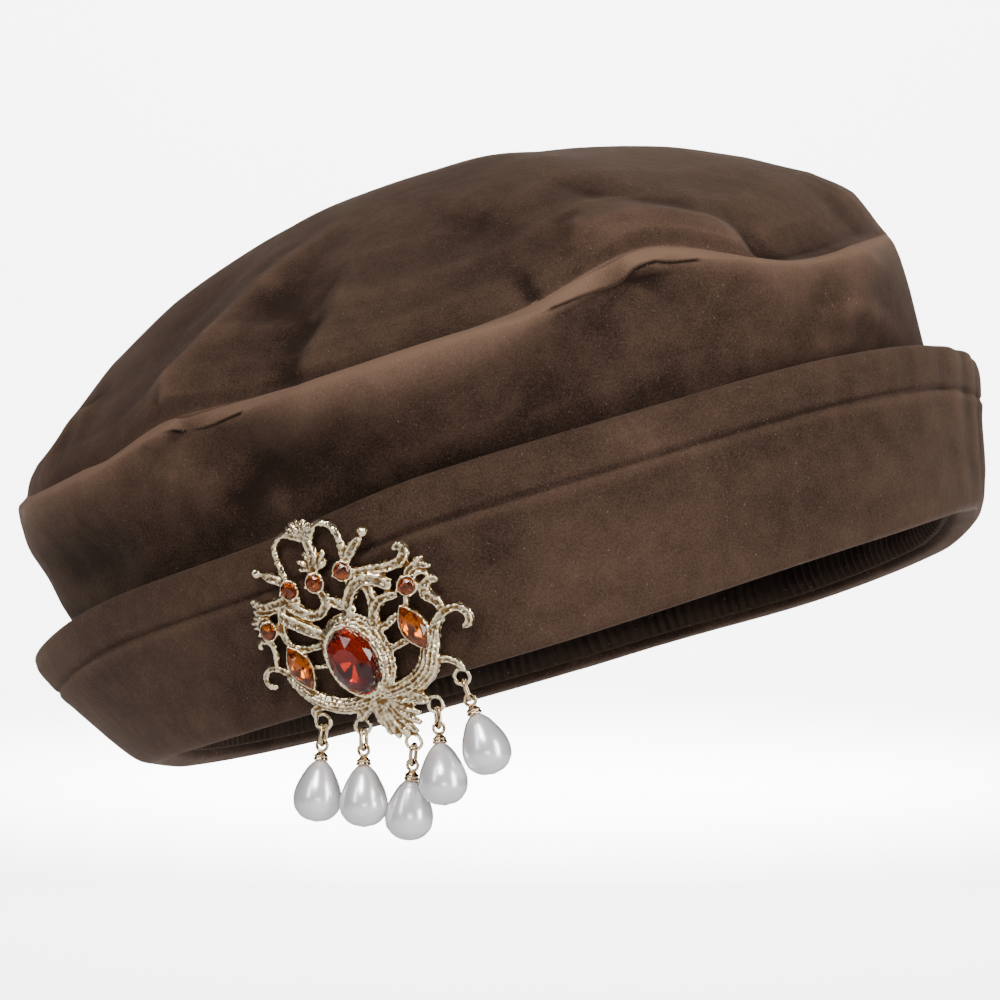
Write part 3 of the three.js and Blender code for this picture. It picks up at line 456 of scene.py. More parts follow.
VELVET = velvet("dark_brown_velvet", (0.0155, 0.0068, 0.0036, 1), (0.162, 0.094, 0.062, 1), 0.12, 0.22)


def finished(piece, finish, slot, *nodes):
    """Gives a piece its material and its body, and hides the nodes it stands for; slot is not used."""
    piece.data.materials.append(finish)
    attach(piece, "root")
    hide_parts(*nodes)


side_place = wall_place(side_face, *SIDE_ROWS, CROWN_WALL)
crown_side = walled_ring("velvet_crown_side", sum(SIDE_ROWS), side_place, SIDE_STEPS)
finished(crown_side, VELVET, "velvet", "crown_side")


# Crown tip. The round velvet disc that closes the crown: it has more cloth than the crown is
# wide, so it slumps to the wearer's right and folds over itself. It is sewn to the crown side
# right sides together, and the seam is turned in.
TIP_RISE = 43.0
TIP_STEPS = 560
TIP_ROWS = 110
INNER_STEP = 4
TIP_TUCK = 2.2
TIP_PROFILE = table("share left right front back", [
    (0, 1, 1, 1, 1), (0.2, 0.97, 0.965, 0.97, 0.96), (0.4, 0.89, 0.89, 0.89, 0.88),
    (0.58, 0.74, 0.77, 0.73, 0.75), (0.74, 0.52, 0.61, 0.52, 0.58), (0.87, 0.28, 0.43, 0.3, 0.38),
    (0.95, 0.12, 0.26, 0.13, 0.2), (1, 0, 0, 0, 0)])
TIP_FOLDS = [
    fold(4.2, 12, 6, [(-14.8, 0.49), (-20, 0.556), (-24.2, 0.633), (-27.4, 0.694), (-29.8, 0.751),
                      (-32.4, 0.813), (-34.6, 0.88), (-36.8, 0.916), (-38.8, 0.947), (-40.2, 0.98)],
         crisp=0.8, shape=1.2, fade=(0.3, 0.12)),
    fold(-3, 9, 9, [(-18, 0.5), (-22, 0.646), (-24.6, 0.766), (-29, 0.831), (-32.4, 0.894)],
         crisp=2, fade=(0.3, 0.4)),
    fold(-1.8, 10, 10, [(-40, 0.42), (-45, 0.56), (-48, 0.69), (-51, 0.78), (-52, 0.87)],
         crisp=2, fade=(0.4, 0.5)),
    fold(1.8, 9, 4, [(-12.5, 0.72), (-13.6, 0.78), (-15, 0.85), (-16, 0.89), (-17.4, 0.93), (-19.2, 0.974)],
         crisp=0.8, shape=1.2, fade=(0.5, 0.03)),
    fold(-2, 4, 7, [(-19, 0.88), (-20.4, 0.93), (-21.4, 0.98)], fade=(0.3, 0.02)),
    fold(3, 14, 7, [(-2, 0.47), (3.2, 0.59), (7, 0.675), (9.8, 0.77), (14.4, 0.86), (18.6, 0.93),
                    (22.4, 0.966), (27, 0.976), (32, 0.978), (37, 0.98), (42, 0.984)],
         crisp=0.8, shape=1.3, fade=(0.3, 0.1)),
    fold(-2.4, 6, 7, [(16.8, 0.68), (23, 0.8), (29, 0.875), (35.2, 0.905), (40, 0.93), (43, 0.965)],
         fade=(0.3, 0.1)),
    fold(-2.6, 8, 8, [(3, 0.68), (8.5, 0.78), (14, 0.86), (18, 0.92)], fade=(0.3, 0.2)),
    fold(-2.4, 5, 5, [(44.3, 0.995), (47, 0.99), (52.2, 0.974), (61.2, 0.961), (75, 0.951)],
         crisp=1, fade=(0.04, 0.15)),
    fold(-1.5, 3, 4, [(-66, 0.83), (-71, 0.82), (-75, 0.86), (-74, 0.91)], crisp=0.4),
    fold(1.5, 4, 3, [(-64, 0.87), (-69, 0.865), (-71.5, 0.9), (-70, 0.95)], crisp=0.4),
    fold(-1.6, 2.2, 2.6, [(8, 0.95), (8.3, 1)], crisp=0.3, fade=(0.5, 0.02)),
]


def tip_base(a, share):
    x, y = seam_oval(a)
    edge = share**2
    low = SEAM_HEIGHT + (seam_level(a) + saddle(a) - SEAM_HEIGHT) * edge
    height = low + TIP_RISE * mixed(TIP_PROFILE, "share", share, a) + SEAM_GAP
    return np.stack([x * share, y * share, height], -1)


def tip_plan(a, share):
    x, y = seam_oval(a)
    return np.stack([x * share, y * share], -1)


def tip_normal(a, share):
    normal = -outward(tip_base, a, share)
    upward = np.where(share[:, None] < 0.02, np.array([0, 0, 1]), normal)
    return upward / np.linalg.norm(upward, axis=-1, keepdims=True)


def tip_place(a, flat):
    share = np.clip(np.hypot(flat[:, 0], flat[:, 1]), 0, 1)
    lift = fold_lift(TIP_FOLDS, tip_plan, a, share) * np.clip((1 - share) / 0.015, 0, 1)
    x, y = (tip_plan(a, share) / 60).T
    lift += slack(x, y, 0.25, 8) * np.clip((1 - share) / 0.08, 0, 1)
    lift -= TIP_TUCK * seam_pull(a) * np.clip((share - 0.965) / 0.035, 0, 1) ** 2
    wall = np.where(flat[:, 2] > 0.5, 0, CROWN_WALL)
    return tip_base(a, share) + tip_normal(a, share) * (lift - wall)[:, None]


bm = bmesh.new()
shares = np.sin(np.linspace(0, math.pi / 2, TIP_ROWS)) ** 0.9
outer_line = [bm.verts.new((0, -share, 1)) for share in shares]
inner_line = [bm.verts.new((0, -share, 0)) for share in shares[::-INNER_STEP]]
line = outer_line + inner_line + [bm.verts.new((0, 0, 0))]
edges = [bm.edges.new(pair) for pair in zip(line, line[1:])]
bmesh.ops.spin(bm, geom=line + edges, cent=(0, 0, 0), axis=(0, 0, 1), angle=math.tau,
               steps=TIP_STEPS, use_merge=True, use_duplicate=False)
crown_tip = placed("velvet_crown_tip", bm, tip_place)
finished(crown_tip, VELVET, "velvet", "crown_tip")


# Cuff. A deep band of velvet over a stiff interlining, turned up all round from a rolled rim. A
# hem shows as a tuck one finger's width below its top edge, and the cloth puckers at the wearer's
# left end.
CUFF_WALL = 2.6
CUFF_HEIGHT = 42.0
CUFF_FLARE = 17.0
CUFF_ROLL = 6.2
CUFF_FOOT = 2.9
CUFF_EDGE = table("at height flare", [
    (-180, 0.95, 0.4), (-130, 0.86, 0.6), (-90, 0.75, 1.08), (-60, 0.86, 0.72), (-32, 0.89, 0.42),
    (-11, 0.98, 0.36), (20, 0.97, 0.36), (50, 0.93, 0.42), (90, 0.8, 0.5), (130, 0.96, 0.42)])
CUFF_LINE = table("level out wall", [
    (0.06, 0.12, 0), (0.2, 0.31, 0), (0.4, 0.53, 0), (0.66, 0.8, 0), (0.86, 0.98, 0), (0.95, 1, 0),
    (0.995, 0.99, 0.12), (1.018, 0.96, 0.5), (0.99, 0.95, 0.88), (0.95, 0.98, 1), (0.86, 0.97, 1),
    (0.66, 0.8, 1), (0.4, 0.53, 1), (0.2, 0.31, 1)])
CUFF_ROWS = 220
HEM_DOWN = 9.6
HEM_TUCK = 0.55


def cuff_place(a, flat):
    """Rows run from the foot under the crown, round the rolled rim, up the face and down inside."""
    t = np.rint(flat[:, 2]) / CUFF_ROWS
    edge_height = CUFF_HEIGHT * around(CUFF_EDGE, "height", a)
    flare = CUFF_FLARE * around(CUFF_EDGE, "flare", a)
    foot = CUFF_FOOT + CUFF_ROLL
    rolled = (CUFF_FOOT, CUFF_FOOT + 0.3, CUFF_FOOT + CUFF_ROLL * 0.4, CUFF_FOOT + CUFF_ROLL * 0.85)
    grown = [np.full(len(a), value) for value in rolled]
    height = [np.full(len(a), value) for value in (CROWN_DROP - 0.6, 0.9, 0.1, 0)]
    for row in CUFF_LINE:
        grown.append(foot + flare * row["out"] - CUFF_WALL * row["wall"])
        height.append(edge_height * row["level"])
    for inward, up in ((1.6, 3.4), (CUFF_ROLL, CROWN_DROP - 0.3)):
        grown.append(np.full(len(a), foot - inward - CUFF_WALL * (inward < 2)))
        height.append(np.full(len(a), up))
    grown, height = np.array(grown), np.array(height)
    spot = t * (len(grown) - 0.001)
    low = np.floor(spot).astype(int) % len(grown)
    share = spot - np.floor(spot)
    pick = np.arange(len(a))

    def between(values):
        return smooth_step([values[(low + step) % len(values), pick] for step in (-1, 0, 1, 2)], share)

    out, up = between(grown), between(height)
    is_face = (t > 0.16) & (t < 0.56)
    below = edge_height - up - HEM_DOWN
    tuck = -HEM_TUCK * np.exp(-(below / 0.6) ** 2) + 0.25 * np.exp(-((below - 1.7) / 1.5) ** 2)
    full = slack(a, up / 20, 0.3, 21)
    gathers = np.sin(np.degrees(a) * 0.75 + 1.2 * np.sin(up / 12))
    pucker = 0.4 * gathers * np.exp(-((np.degrees(a) - LEFT_END) / 17) ** 2)
    out = out + np.where(is_face, tuck + (full + pucker) * np.clip(up / 8, 0, 1), 0)
    x, y = head_oval(a, out)
    return np.stack([x, y, up + saddle(a)], -1)


cuff = walled_ring("velvet_cuff", CUFF_ROWS, cuff_place)
finished(cuff, VELVET, "velvet", "cuff")


# Gathered band. A strip of the same velvet, drawn up on two threads into fine ribs and sewn inside
# the head opening, where it grips the hair. The two threads pull it into puffs.
BAND_ROWS = 44
BAND_BACK = 6
BAND_STEPS = 1500
BAND_RIBS = 230
BAND_WALL = 1.4
BAND_PUFF = 1.2
BAND_HEIGHT = 27.0
BAND_DROP = 2.4
BAND_PUFFS = table("level puff", [(0, 0.4), (0.12, 0.95), (0.3, 0.25), (0.5, 1), (0.75, 0.3), (1, 0.1)])
# Painted shade: the band is the same velvet with its colours drawn several times darker, for the shade
# inside the head opening
GATHERED_SHADED = velvet("gathered_velvet_painted_shade", (0.005, 0.0026, 0.0016, 1), (0.03, 0.017, 0.011, 1), 0.3, 0.12)


def band_place(a, flat):
    step = np.rint(flat[:, 2])
    front = BAND_ROWS - BAND_BACK
    inside = step < front
    level = np.where(inside, step / (front - 1), 1 - (step - front) / (BAND_BACK - 1))
    puff = BAND_PUFF * eased(level, BAND_PUFFS["level"], BAND_PUFFS["puff"])
    wander = np.sin(3 * a + 1) + 0.7 * np.sin(7 * a + 2) + 0.5 * np.sin(11 * a)
    depth = 0.55 + 0.25 * np.sin(29 * a + 4 * level)
    ribs = depth * np.sin(BAND_RIBS * a + 1.4 * wander + 1.2 * np.sin(level * 7 + 9 * a))
    pulled = 1 - 0.6 * np.exp(-((level - 0.3) / 0.06) ** 2)
    reach = BAND_PUFF - puff - 0.55 * ribs * pulled
    grown = np.where(inside, reach, BAND_PUFF + BAND_WALL)
    x, y = head_oval(a, grown)
    return np.stack([x, y, BAND_DROP + BAND_HEIGHT * level + saddle(a)], -1)


inner_band = walled_ring("gathered_inner_band", BAND_ROWS, band_place, BAND_STEPS)
finished(inner_band, GATHERED_SHADED, "gathered_velvet", "inner_band")


# Brooch casting. One openwork casting of scrolls, leaves and stone collars, with five rings for the
# drops, plated pale gold and left brown in its recesses. Its broad bows are reeded, its small bars
# have raised rims, and grains of metal surround the middle stone.
BROOCH_MIDDLE = Vector((-45.565, -100.741, -1.28))
BROOCH_RIGHT = Vector((0.81873, -0.43415, 0.37577))
BROOCH_UP = Vector((-0.4407, -0.05563, 0.89593))
BROOCH_OUT = BROOCH_RIGHT.cross(BROOCH_UP)
BROOCH_AXES = np.array([BROOCH_RIGHT, BROOCH_UP, BROOCH_OUT])
CHART = 52.0 / 50
DOME = 150.0
FRAME_BASE = 0.9
VOXEL = 0.22
FATTER = 1.14
BLUNT_END = (0.55, 0.9)
CLAW_RADIUS = 0.42
DIMPLE = 0.7
DIMPLE_DEPTH = 0.2

# Each bar's form and its middle line: across, along and half width at each point
BARS = [
    ("reeded", [(-16.8, 2.6, 0.75), (-15, -1.4, 1.25), (-11.8, -5.2, 1.7), (-6.9, -8.4, 1.8),
        (-1.4, -9.4, 1.75), (3.1, -9, 1.4)]),
    ("rimmed", [(-14.8, 1, 0.8), (-16.4, 3, 0.8), (-18.2, 4.7, 0.75), (-20.2, 5.3, 0.75),
        (-22, 4, 0.75), (-21.9, 1.9, 0.75), (-20.2, 1.2, 0.7)]),
    ("reeded", [(18.8, -0.7, 1.3), (15.7, -4.8, 1.95), (13.6, -7.9, 2.25), (10.5, -9.5, 2.2),
        (6.6, -10, 2), (2.3, -9.6, 1.5)]),
    ("rimmed", [(17.6, -2.6, 1.2), (19.4, -0.2, 1.25), (22, 1.4, 1.1), (25, 1.1, 0.95),
        (26.3, -1.1, 0.9), (25.7, -2.9, 0.9), (24.1, -3.2, 0.8)]),
    ("rimmed", [(14.6, -7, 0.9), (17, -7.6, 0.85), (19.2, -8.9, 0.85), (20.4, -11.2, 0.8)]),
    ("rimmed", [(-9.2, -7.6, 0.9), (-12.4, -6.4, 0.95), (-14.7, -6.6, 0.85), (-15.2, -8.2, 0.7)]),
    ("rimmed", [(-0.3, -9.9, 1.5), (-3.6, -10.6, 1.4), (-5.8, -12.6, 0.95)]),
    ("rimmed", [(4.4, -10.8, 1.7), (8, -12.5, 1.6), (10.6, -14.5, 1)]),
    ("round", [(2.4, -17.5, 1.1), (2.9, -20, 0.9)]),
    ("rimmed", [(6.4, 16.6, 1.2), (9.8, 16.5, 1.15), (12.8, 15.7, 1.2), (16, 15, 1.3),
        (18.6, 15.2, 1.3), (19.9, 16.8, 1.1), (19.2, 18.4, 1), (17.9, 17.6, 0.8)]),
    ("rimmed", [(3.2, 10.4, 1.3), (5.4, 13.4, 1.5), (8.6, 14.8, 1.6), (11.8, 13.6, 1.5),
        (14.2, 10.9, 1.3)]),
    ("rimmed", [(7.1, 4.9, 1.3), (8.6, 8.1, 1.3), (11.5, 9.4, 1.15), (14.6, 8.8, 1)]),
    ("round", [(2.6, 7.6, 1.3), (4.2, 11.4, 1.3)]),
    ("rimmed", [(9.4, 14.4, 1.2), (9.2, 11.2, 1.1), (8.4, 8.2, 1.1)]),
    ("rimmed", [(5.6, 4.5, 1.1), (8.8, 3.8, 1), (12.8, 5, 0.95)]),
    ("rimmed", [(6, -1.4, 1), (9.6, -1, 0.95), (12.8, -0.9, 0.95)]),
    ("rimmed", [(18, 12, 0.95), (20, 12.9, 0.95), (22, 12.4, 0.8), (23.6, 11.3, 0.7)]),
    ("round", [(18.8, 11, 0.8), (20.9, 11.2, 0.8), (22.3, 10.2, 0.6)]),
    ("round", [(20.3, 12.7, 0.6), (21.6, 14, 0.7), (23, 13.8, 0.45)]),
    ("rimmed", [(21.8, 1.4, 1), (21.6, 4.1, 1.1), (20.2, 6.4, 1.35), (20.8, 8.3, 1.2),
        (22.8, 8.9, 0.95), (23.5, 7.8, 0.8)]),
    ("round", [(16.2, 8.3, 0.8), (15, 5.6, 0.7)]),
    ("rimmed", [(-5.8, 16.2, 1.4), (-8.4, 17.4, 1.3), (-11.4, 17.6, 1.3), (-15.2, 18.3, 1),
        (-17.2, 20.6, 0.65)]),
    ("rimmed", [(-10.8, 16.5, 1.1), (-15, 16.9, 0.85), (-17.8, 18.2, 0.5)]),
    ("rimmed", [(-9.2, 17.3, 1.4), (-7.5, 14.7, 1.4), (-5, 12.3, 1.3), (-2.6, 11.9, 1.3),
        (-0.6, 13.6, 1.25), (-0.6, 16.4, 1)]),
    ("rimmed", [(-0.4, 14.2, 1.1), (2.1, 12.1, 1.3), (4.3, 10.9, 1.3)]),
    ("rimmed", [(7.2, 16.8, 1.1), (5.6, 14.2, 1.1), (4.2, 11.4, 1.2)]),
    ("rimmed", [(-12.2, 15.2, 1.3), (-9.9, 12.6, 1.55), (-6.9, 9.6, 1.5), (-4.1, 7, 1.3)]),
    ("rimmed", [(-9.8, 17.6, 1.1), (-11.4, 14.8, 1.2), (-12.8, 12.2, 1), (-13.4, 9, 0.8)]),
    ("rimmed", [(-13.4, 10.4, 0.75), (-12.4, 7.9, 0.85), (-9.8, 6.2, 0.9), (-5, 5.4, 0.85)]),
    ("round", [(-10.2, 2, 0.55), (-6.4, 0.8, 0.55)]),
    ("round", [(-18.6, 4.9, 0.7), (-17.3, 7.3, 0.75), (-16.8, 9.9, 0.8), (-18.3, 11.4, 0.75),
        (-20, 10.9, 0.65), (-19.5, 9.8, 0.55)]),
    ("rimmed", [(-0.6, 19, 0.9), (0.2, 21.6, 1.2), (0.9, 24.4, 0.95), (1.2, 28.2, 1.3)]),
    ("round", [(0.8, 28.8, 0.85), (-2.7, 30.4, 0.75), (-6, 29.4, 0.7), (-7.1, 26.8, 0.7),
        (-7.2, 23.9, 0.75), (-7.2, 20.6, 0.9)]),
    ("round", [(2.6, 28.2, 0.8), (4.6, 29.6, 0.75), (7.1, 28.6, 0.85), (8, 25.6, 0.9),
        (7.6, 22.3, 0.85), (6.6, 19.6, 1)]),
    ("rimmed", [(-12.2, 24.8, 0.45), (-10.4, 23.4, 1.2), (-8.6, 21.8, 1.05), (-7.4, 20.3, 0.8)]),
    ("rimmed", [(12.8, 23.3, 0.5), (10.8, 22.4, 1.2), (8.9, 21, 1.2), (7.2, 19.5, 0.9)]),
]

# Each leaf's foot, its petals' half widths at foot, belly and tip, its count of petals, their bend
# and the outline that their tips reach
LEAVES = [
    ((0.9, -7.8), (0.6, 0.85, 0.5), 10, 0.5,
     [(-1.9, -12.6), (-1.4, -16.6), (-0.1, -19), (2.2, -20.2), (5.1, -19.8), (6.9, -17.6),
      (7.6, -14.6), (7, -12)]),
    ((1.1, 27), (0.6, 0.75, 0.5), 7, 0.2,
     [(-3.2, 30.2), (-2, 31.9), (-0.4, 32.6), (1.8, 32.3), (3.1, 31), (3.5, 28.9)]),
    ((0.3, 20.6), (0.6, 0.75, 0.55), 6, 0.1,
     [(-3.4, 22.4), (-3, 24.2), (-0.8, 25.4), (1.9, 25.8), (3.8, 24.2), (3.5, 21.9)]),
    ((-14.2, 14.2), (0.7, 0.8, 0.45), 4, 0.1, [(-18.4, 17), (-19.4, 16), (-19.3, 14.6), (-18.4, 13.4)]),
]
BALLS = [((-12.9, 25.4), 1.1), ((13.7, 24.1), 1.25), ((-4, 12.3), 0.8), ((9.2, 13.2), 0.75),
         ((-1, 14.2), 0.7), ((16.9, 14.2), 0.8), ((4.5, 12.6), 0.7)]

# A stone's turn is in degrees to the left, its rim is its collar's and its seat the girdle's height
Stone = namedtuple("Stone", "name at turn length width rise sides rim seat pointed")
ROUND_PLACES = [(-7, 19.2), (-0.8, 18.4), (6.1, 18.3), (-15.8, 13), (17.6, 9.7)]
ROUND_STONES = [Stone(f"stone_round_{number}", at, 0, 4.2, 4.2, 1.2, 8, 0.4, 1.8, False)
                for number, at in enumerate(ROUND_PLACES, 1)]
STONES = [
    Stone("stone_oval", (-0.3, -0.2), 5, 15.4, 11.2, 3.2, 12, 1.1, 2.2, False),
    Stone("stone_marquise_left", (-12.5, 3), 7, 10.8, 5.6, 1.7, 10, 0.45, 1.9, True),
    Stone("stone_marquise_right", (15, 1.1), 7, 10.8, 5.6, 1.7, 10, 0.45, 1.9, True),
] + ROUND_STONES

# Each drop ring's place, the drop's lean, its link's turn and how far it swings forward
DROPS = [((-14.2, -9.6), -5, 90, 0), ((-6.1, -13.9), 0, 90, 0), ((2.8, -21.4), -4, 90, -12),
         ((11.1, -15.9), 5, 50, 8), ((19, -12.9), 18, 70, 0)]
RING_RADIUS = 1.75
RING_WIRE = 0.42


def on_brooch(x, y, raised):
    """Places on the brooch's chart, raised above its domed back, in its own millimetres."""
    across, along = np.asarray(x) * CHART, np.asarray(y)
    return np.stack([across, along, raised - (across**2 + 0.4 * along**2) / (2 * DOME)], -1)


def off_brooch(points):
    """The brooch's own millimetres as metres in the hat's frame."""
    return (np.asarray(points) @ BROOCH_AXES + np.array(BROOCH_MIDDLE)) * MM


def swept(bm, rings, closed=False):
    """Carries one circle of points along a row of equal rings, and closes both ends or joins them."""
    ring = bmesh.ops.create_circle(bm, segments=len(rings[0]), radius=1)["verts"]
    first = ring
    for number, places in enumerate(rings):
        if number:
            edges = [bm.edges.get((ring[step - 1], ring[step])) for step in range(len(ring))]
            made = bmesh.ops.extrude_edge_only(bm, edges=edges)["geom"]
            fresh = {vert for vert in made if isinstance(vert, bmesh.types.BMVert)}
            ring = [next(edge.other_vert(vert) for edge in vert.link_edges if edge.other_vert(vert) in fresh)
                    for vert in ring]
        for vert, place in zip(ring, places):
            vert.co = place
    ends = [[bm.edges.get((loop[step - 1], loop[step])) for step in range(len(loop))]
            for loop in (first, ring)]
    if closed:
        bmesh.ops.bridge_loops(bm, edges=ends[0] + ends[1])
    else:
        for loop in ends:
            bmesh.ops.edgeloop_fill(bm, edges=loop)
    return first


def smooth_line(points, step=0.7):
    """A smooth course through a bar's points, sampled about every step millimetres."""
    points = np.array(points, float)
    lengths = np.hypot(*np.diff(points[:, :2], axis=0).T)
    knots = np.concatenate([[0], np.cumsum(lengths)])
    t = np.linspace(0, knots[-1], max(5, int(knots[-1] / step)))
    return np.stack([eased(t, knots, column) for column in points.T], -1)


def bar_rings(spots, form):
    """Sections of a cast bar: flat behind, and reeded, rimmed or round in front."""
    u = np.sin(np.linspace(-math.pi / 2, math.pi / 2, 23))
    rings = []
    for number, (x, y, half) in enumerate(spots):
        before, after = spots[max(0, number - 1)], spots[min(len(spots) - 1, number + 1)]
        way = (after - before)[:2] / np.hypot(*(after - before)[:2])
        from_end = min(number, len(spots) - 1 - number)
        blunt = BLUNT_END[from_end] if from_end < 2 else 1.0
        half = half * FATTER
        crest = (FRAME_BASE + 0.75 * half) * (0.75 + 0.25 * blunt)
        dome = np.sqrt(1 - 0.85 * u**2)
        if form == "reeded":
            face = dome * (0.86 + 0.14 * np.cos(5 * math.pi * u)) + 0.04 * (np.abs(u) < 0.9)
        elif form == "rimmed":
            rims = 0.2 * np.exp(-((np.abs(u) - 0.6) / 0.17) ** 2)
            face = dome * 0.88 + rims - 0.1 * np.exp(-(u / 0.25) ** 2)
        else:
            face = dome
        across = np.concatenate([u, [0.7, 0.2, -0.2, -0.7]]) * half * blunt
        up = np.concatenate([np.maximum(face, 0.3) * crest, [0, 0, 0, 0]])
        rings.append(on_brooch(x - way[1] * across, y + way[0] * across, up))
    return rings


def stone_ring(stone, grown, share, height, offset=0.0):
    """A ring of corners round a stone, in the brooch's own millimetres."""
    corners = (np.arange(stone.sides) + offset) / stone.sides * math.tau
    along, across = np.cos(corners), np.sin(corners)
    if stone.pointed:
        across = np.sign(np.round(across, 6)) * (1 - along**2)
    x, y = across * (stone.width / 2 * share + grown), along * (stone.length / 2 * share + grown)
    lean = math.radians(stone.turn)
    x, y = x * math.cos(lean) - y * math.sin(lean), x * math.sin(lean) + y * math.cos(lean)
    return on_brooch(stone.at[0] + x / CHART, stone.at[1] + y, height)


def round_ring(stone, grown, share, height, points):
    """The same outline drawn with many points, for the collar round the stone."""
    return stone_ring(stone._replace(sides=points), grown, share, height)


bm = bmesh.new()
for form, points in BARS:
    swept(bm, bar_rings(smooth_line(points), form))
for foot, halves, count, bend, outline in LEAVES:
    rows = np.linspace(0, len(outline) - 1, count)
    tips = [[eased(row, np.arange(len(outline)), column) for column in np.array(outline).T] for row in rows]
    for tip in tips:
        way = np.array(tip) - foot
        middle = np.array(foot) + 0.6 * way + bend * np.array([way[1], -way[0]]) / np.hypot(*way)
        petal = [(*foot, halves[0]), (*middle, halves[1]), (*tip, halves[2])]
        swept(bm, bar_rings(smooth_line(petal, 0.5), "round"))
for at, radius in BALLS:
    middle = on_brooch(*at, radius)
    bmesh.ops.create_icosphere(bm, subdivisions=3, radius=radius, matrix=Matrix.Translation(middle))
for stone in STONES:
    rim, seat = 0.6 * stone.rim, stone.seat
    rings = [round_ring(stone, grown, share, height, 48) for grown, share, height in (
        (-0.45, 0.92, 0), (rim, 1, 0), (rim + 0.05, 1, seat * 0.7), (rim * 0.8, 1, seat + 0.1),
        (0.1, 1, seat + 0.3), (-0.2, 1, seat + 0.25), (-0.45, 0.92, seat - 0.9))]
    swept(bm, rings, closed=True)

# Grains round the middle stone: rows that widen towards the brooch's upper right
GRAIN_ROWS = [(0.5, 2.5, 0.3), (1.05, 2.15, 0.34), (1.6, 1.8, 0.36), (2.1, 1.4, 0.36)]
GRAIN_DRIFT = (0.62, 0.25)
grains = np.random.default_rng(5)


def collar_ring(grown, height, points):
    ring = round_ring(STONES[0], grown, 1, height, points)
    return ring + np.array([GRAIN_DRIFT[0], GRAIN_DRIFT[1], 0]) * max(0, grown)


for grown, raised, size in GRAIN_ROWS:
    for middle in collar_ring(grown, raised, round(2 * math.pi * (7 + grown) / (2.1 * size))):
        shift = Vector(grains.uniform(-0.1, 0.1, 3))
        bmesh.ops.create_icosphere(bm, subdivisions=1, radius=size * grains.uniform(0.85, 1.15),
                                   matrix=Matrix.Translation(Vector(middle) + shift))
rings = [collar_ring(grown, height, 60) for grown, height in ((0.3, 0), (2.2, 0), (2.1, 1.2), (0.5, 2.3))]
swept(bm, rings, closed=True)
for stone in ROUND_STONES:
    for claw in stone_ring(stone._replace(sides=4), 0.05, 1, stone.seat + 0.5):
        bmesh.ops.create_icosphere(bm, subdivisions=2, radius=CLAW_RADIUS, matrix=Matrix.Translation(claw))
for ring, _, _, _ in DROPS:
    middle = on_brooch(*ring, FRAME_BASE / 2)
    turns = np.linspace(0, math.tau, 28, endpoint=False)
    loops = []
    for turn in turns:
        out = np.array([math.cos(turn), math.sin(turn), 0])
        sides = np.linspace(0, math.tau, 12, endpoint=False)
        loops.append(middle + out * RING_RADIUS + RING_WIRE * (
            np.cos(sides)[:, None] * out + np.sin(sides)[:, None] * np.array([0, 0, 1])))
    swept(bm, loops, closed=True)
bmesh.ops.recalc_face_normals(bm, faces=bm.faces)
rough = shown("brooch_rough", mesh_of("brooch_rough", bm))
fuse = rough.modifiers.new("fuse", "REMESH")
fuse.mode = "VOXEL"
fuse.voxel_size = VOXEL
mesh = bpy.data.meshes.new_from_object(rough.evaluated_get(bpy.context.evaluated_depsgraph_get()))
bpy.data.objects.remove(rough)
mesh.name = "brooch_casting"

pairs = numbers_of(mesh.edges, "vertices", int, 2)
cast = relaxed(numbers_of(mesh.vertices, "co"), pairs, 1, 0.4)
ways = numbers_of(mesh.vertices, "normal")
dimples = np.array([mathutils.noise.noise(Vector(spot) / DIMPLE) for spot in cast])
cast = relaxed(cast + DIMPLE_DEPTH * dimples[:, None] * ways, pairs, 1, 0.3)
mesh.vertices.foreach_set("co", cast.ravel())
mesh.update()
height = cast[:, 2] + (cast[:, 0] ** 2 + 0.4 * cast[:, 1] ** 2) / (2 * DOME)
noted(mesh, "relief", 0.5 + 2.2 * relief_of(mesh, 26) + 0.12 * (height - 1.6))
mesh.vertices.foreach_set("co", off_brooch(cast).ravel())
mesh.shade_smooth()
casting = shown("brooch_casting", mesh)


def wear(group, given, made):
    where = object_place(group)
    patches = spread(group, noise(group, 520, 4, 0.6, where), 0.3, 0.7, -0.24, 0.24)
    grain = noise(group, 1500, 3, 0.6, where)
    high = maths(group, "ADD", given.outputs["Relief"], patches)
    mask = spread(group, high, 0.3, 0.72, 0, 1)
    warm = tinted(group, mask, given.outputs["Recess"], given.outputs["Face"])
    group.links.new(warm, made.inputs["Color"])
    group.links.new(spread(group, mask, 0, 1, 0.3, 0.09), made.inputs["Roughness"])
    uneven = maths(group, "ADD", grain, maths(group, "MULTIPLY", patches, 0.4))
    group.links.new(uneven, made.inputs["Height"])


WEAR = node_group("plate_wear", [
    ("Relief", "INPUT", "NodeSocketFloat", 0.8),
    ("Recess", "INPUT", "NodeSocketColor", (0.2, 0.09, 0.03, 1)),
    ("Face", "INPUT", "NodeSocketColor", (0.93, 0.8, 0.56, 1)),
    ("Color", "OUTPUT", "NodeSocketColor", None),
    ("Roughness", "OUTPUT", "NodeSocketFloat", None),
    ("Height", "OUTPUT", "NodeSocketFloat", None)], wear)


def plated(name, recess, face, relief_from, grain):
    made, tree, shader = material(name)
    shader.inputs["Metallic"].default_value = 1.0
    group = tree.nodes.new("ShaderNodeGroup")
    group.node_tree = WEAR
    preset(group, {"Recess": recess, "Face": face})
    if relief_from:
        relief = tree.nodes.new("ShaderNodeAttribute")
        relief.attribute_name = relief_from
        tree.links.new(relief.outputs["Fac"], group.inputs["Relief"])
    tree.links.new(group.outputs["Color"], shader.inputs["Base Color"])
    tree.links.new(group.outputs["Roughness"], shader.inputs["Roughness"])
    bumped(tree, shader, group.outputs["Height"], grain)
    return made


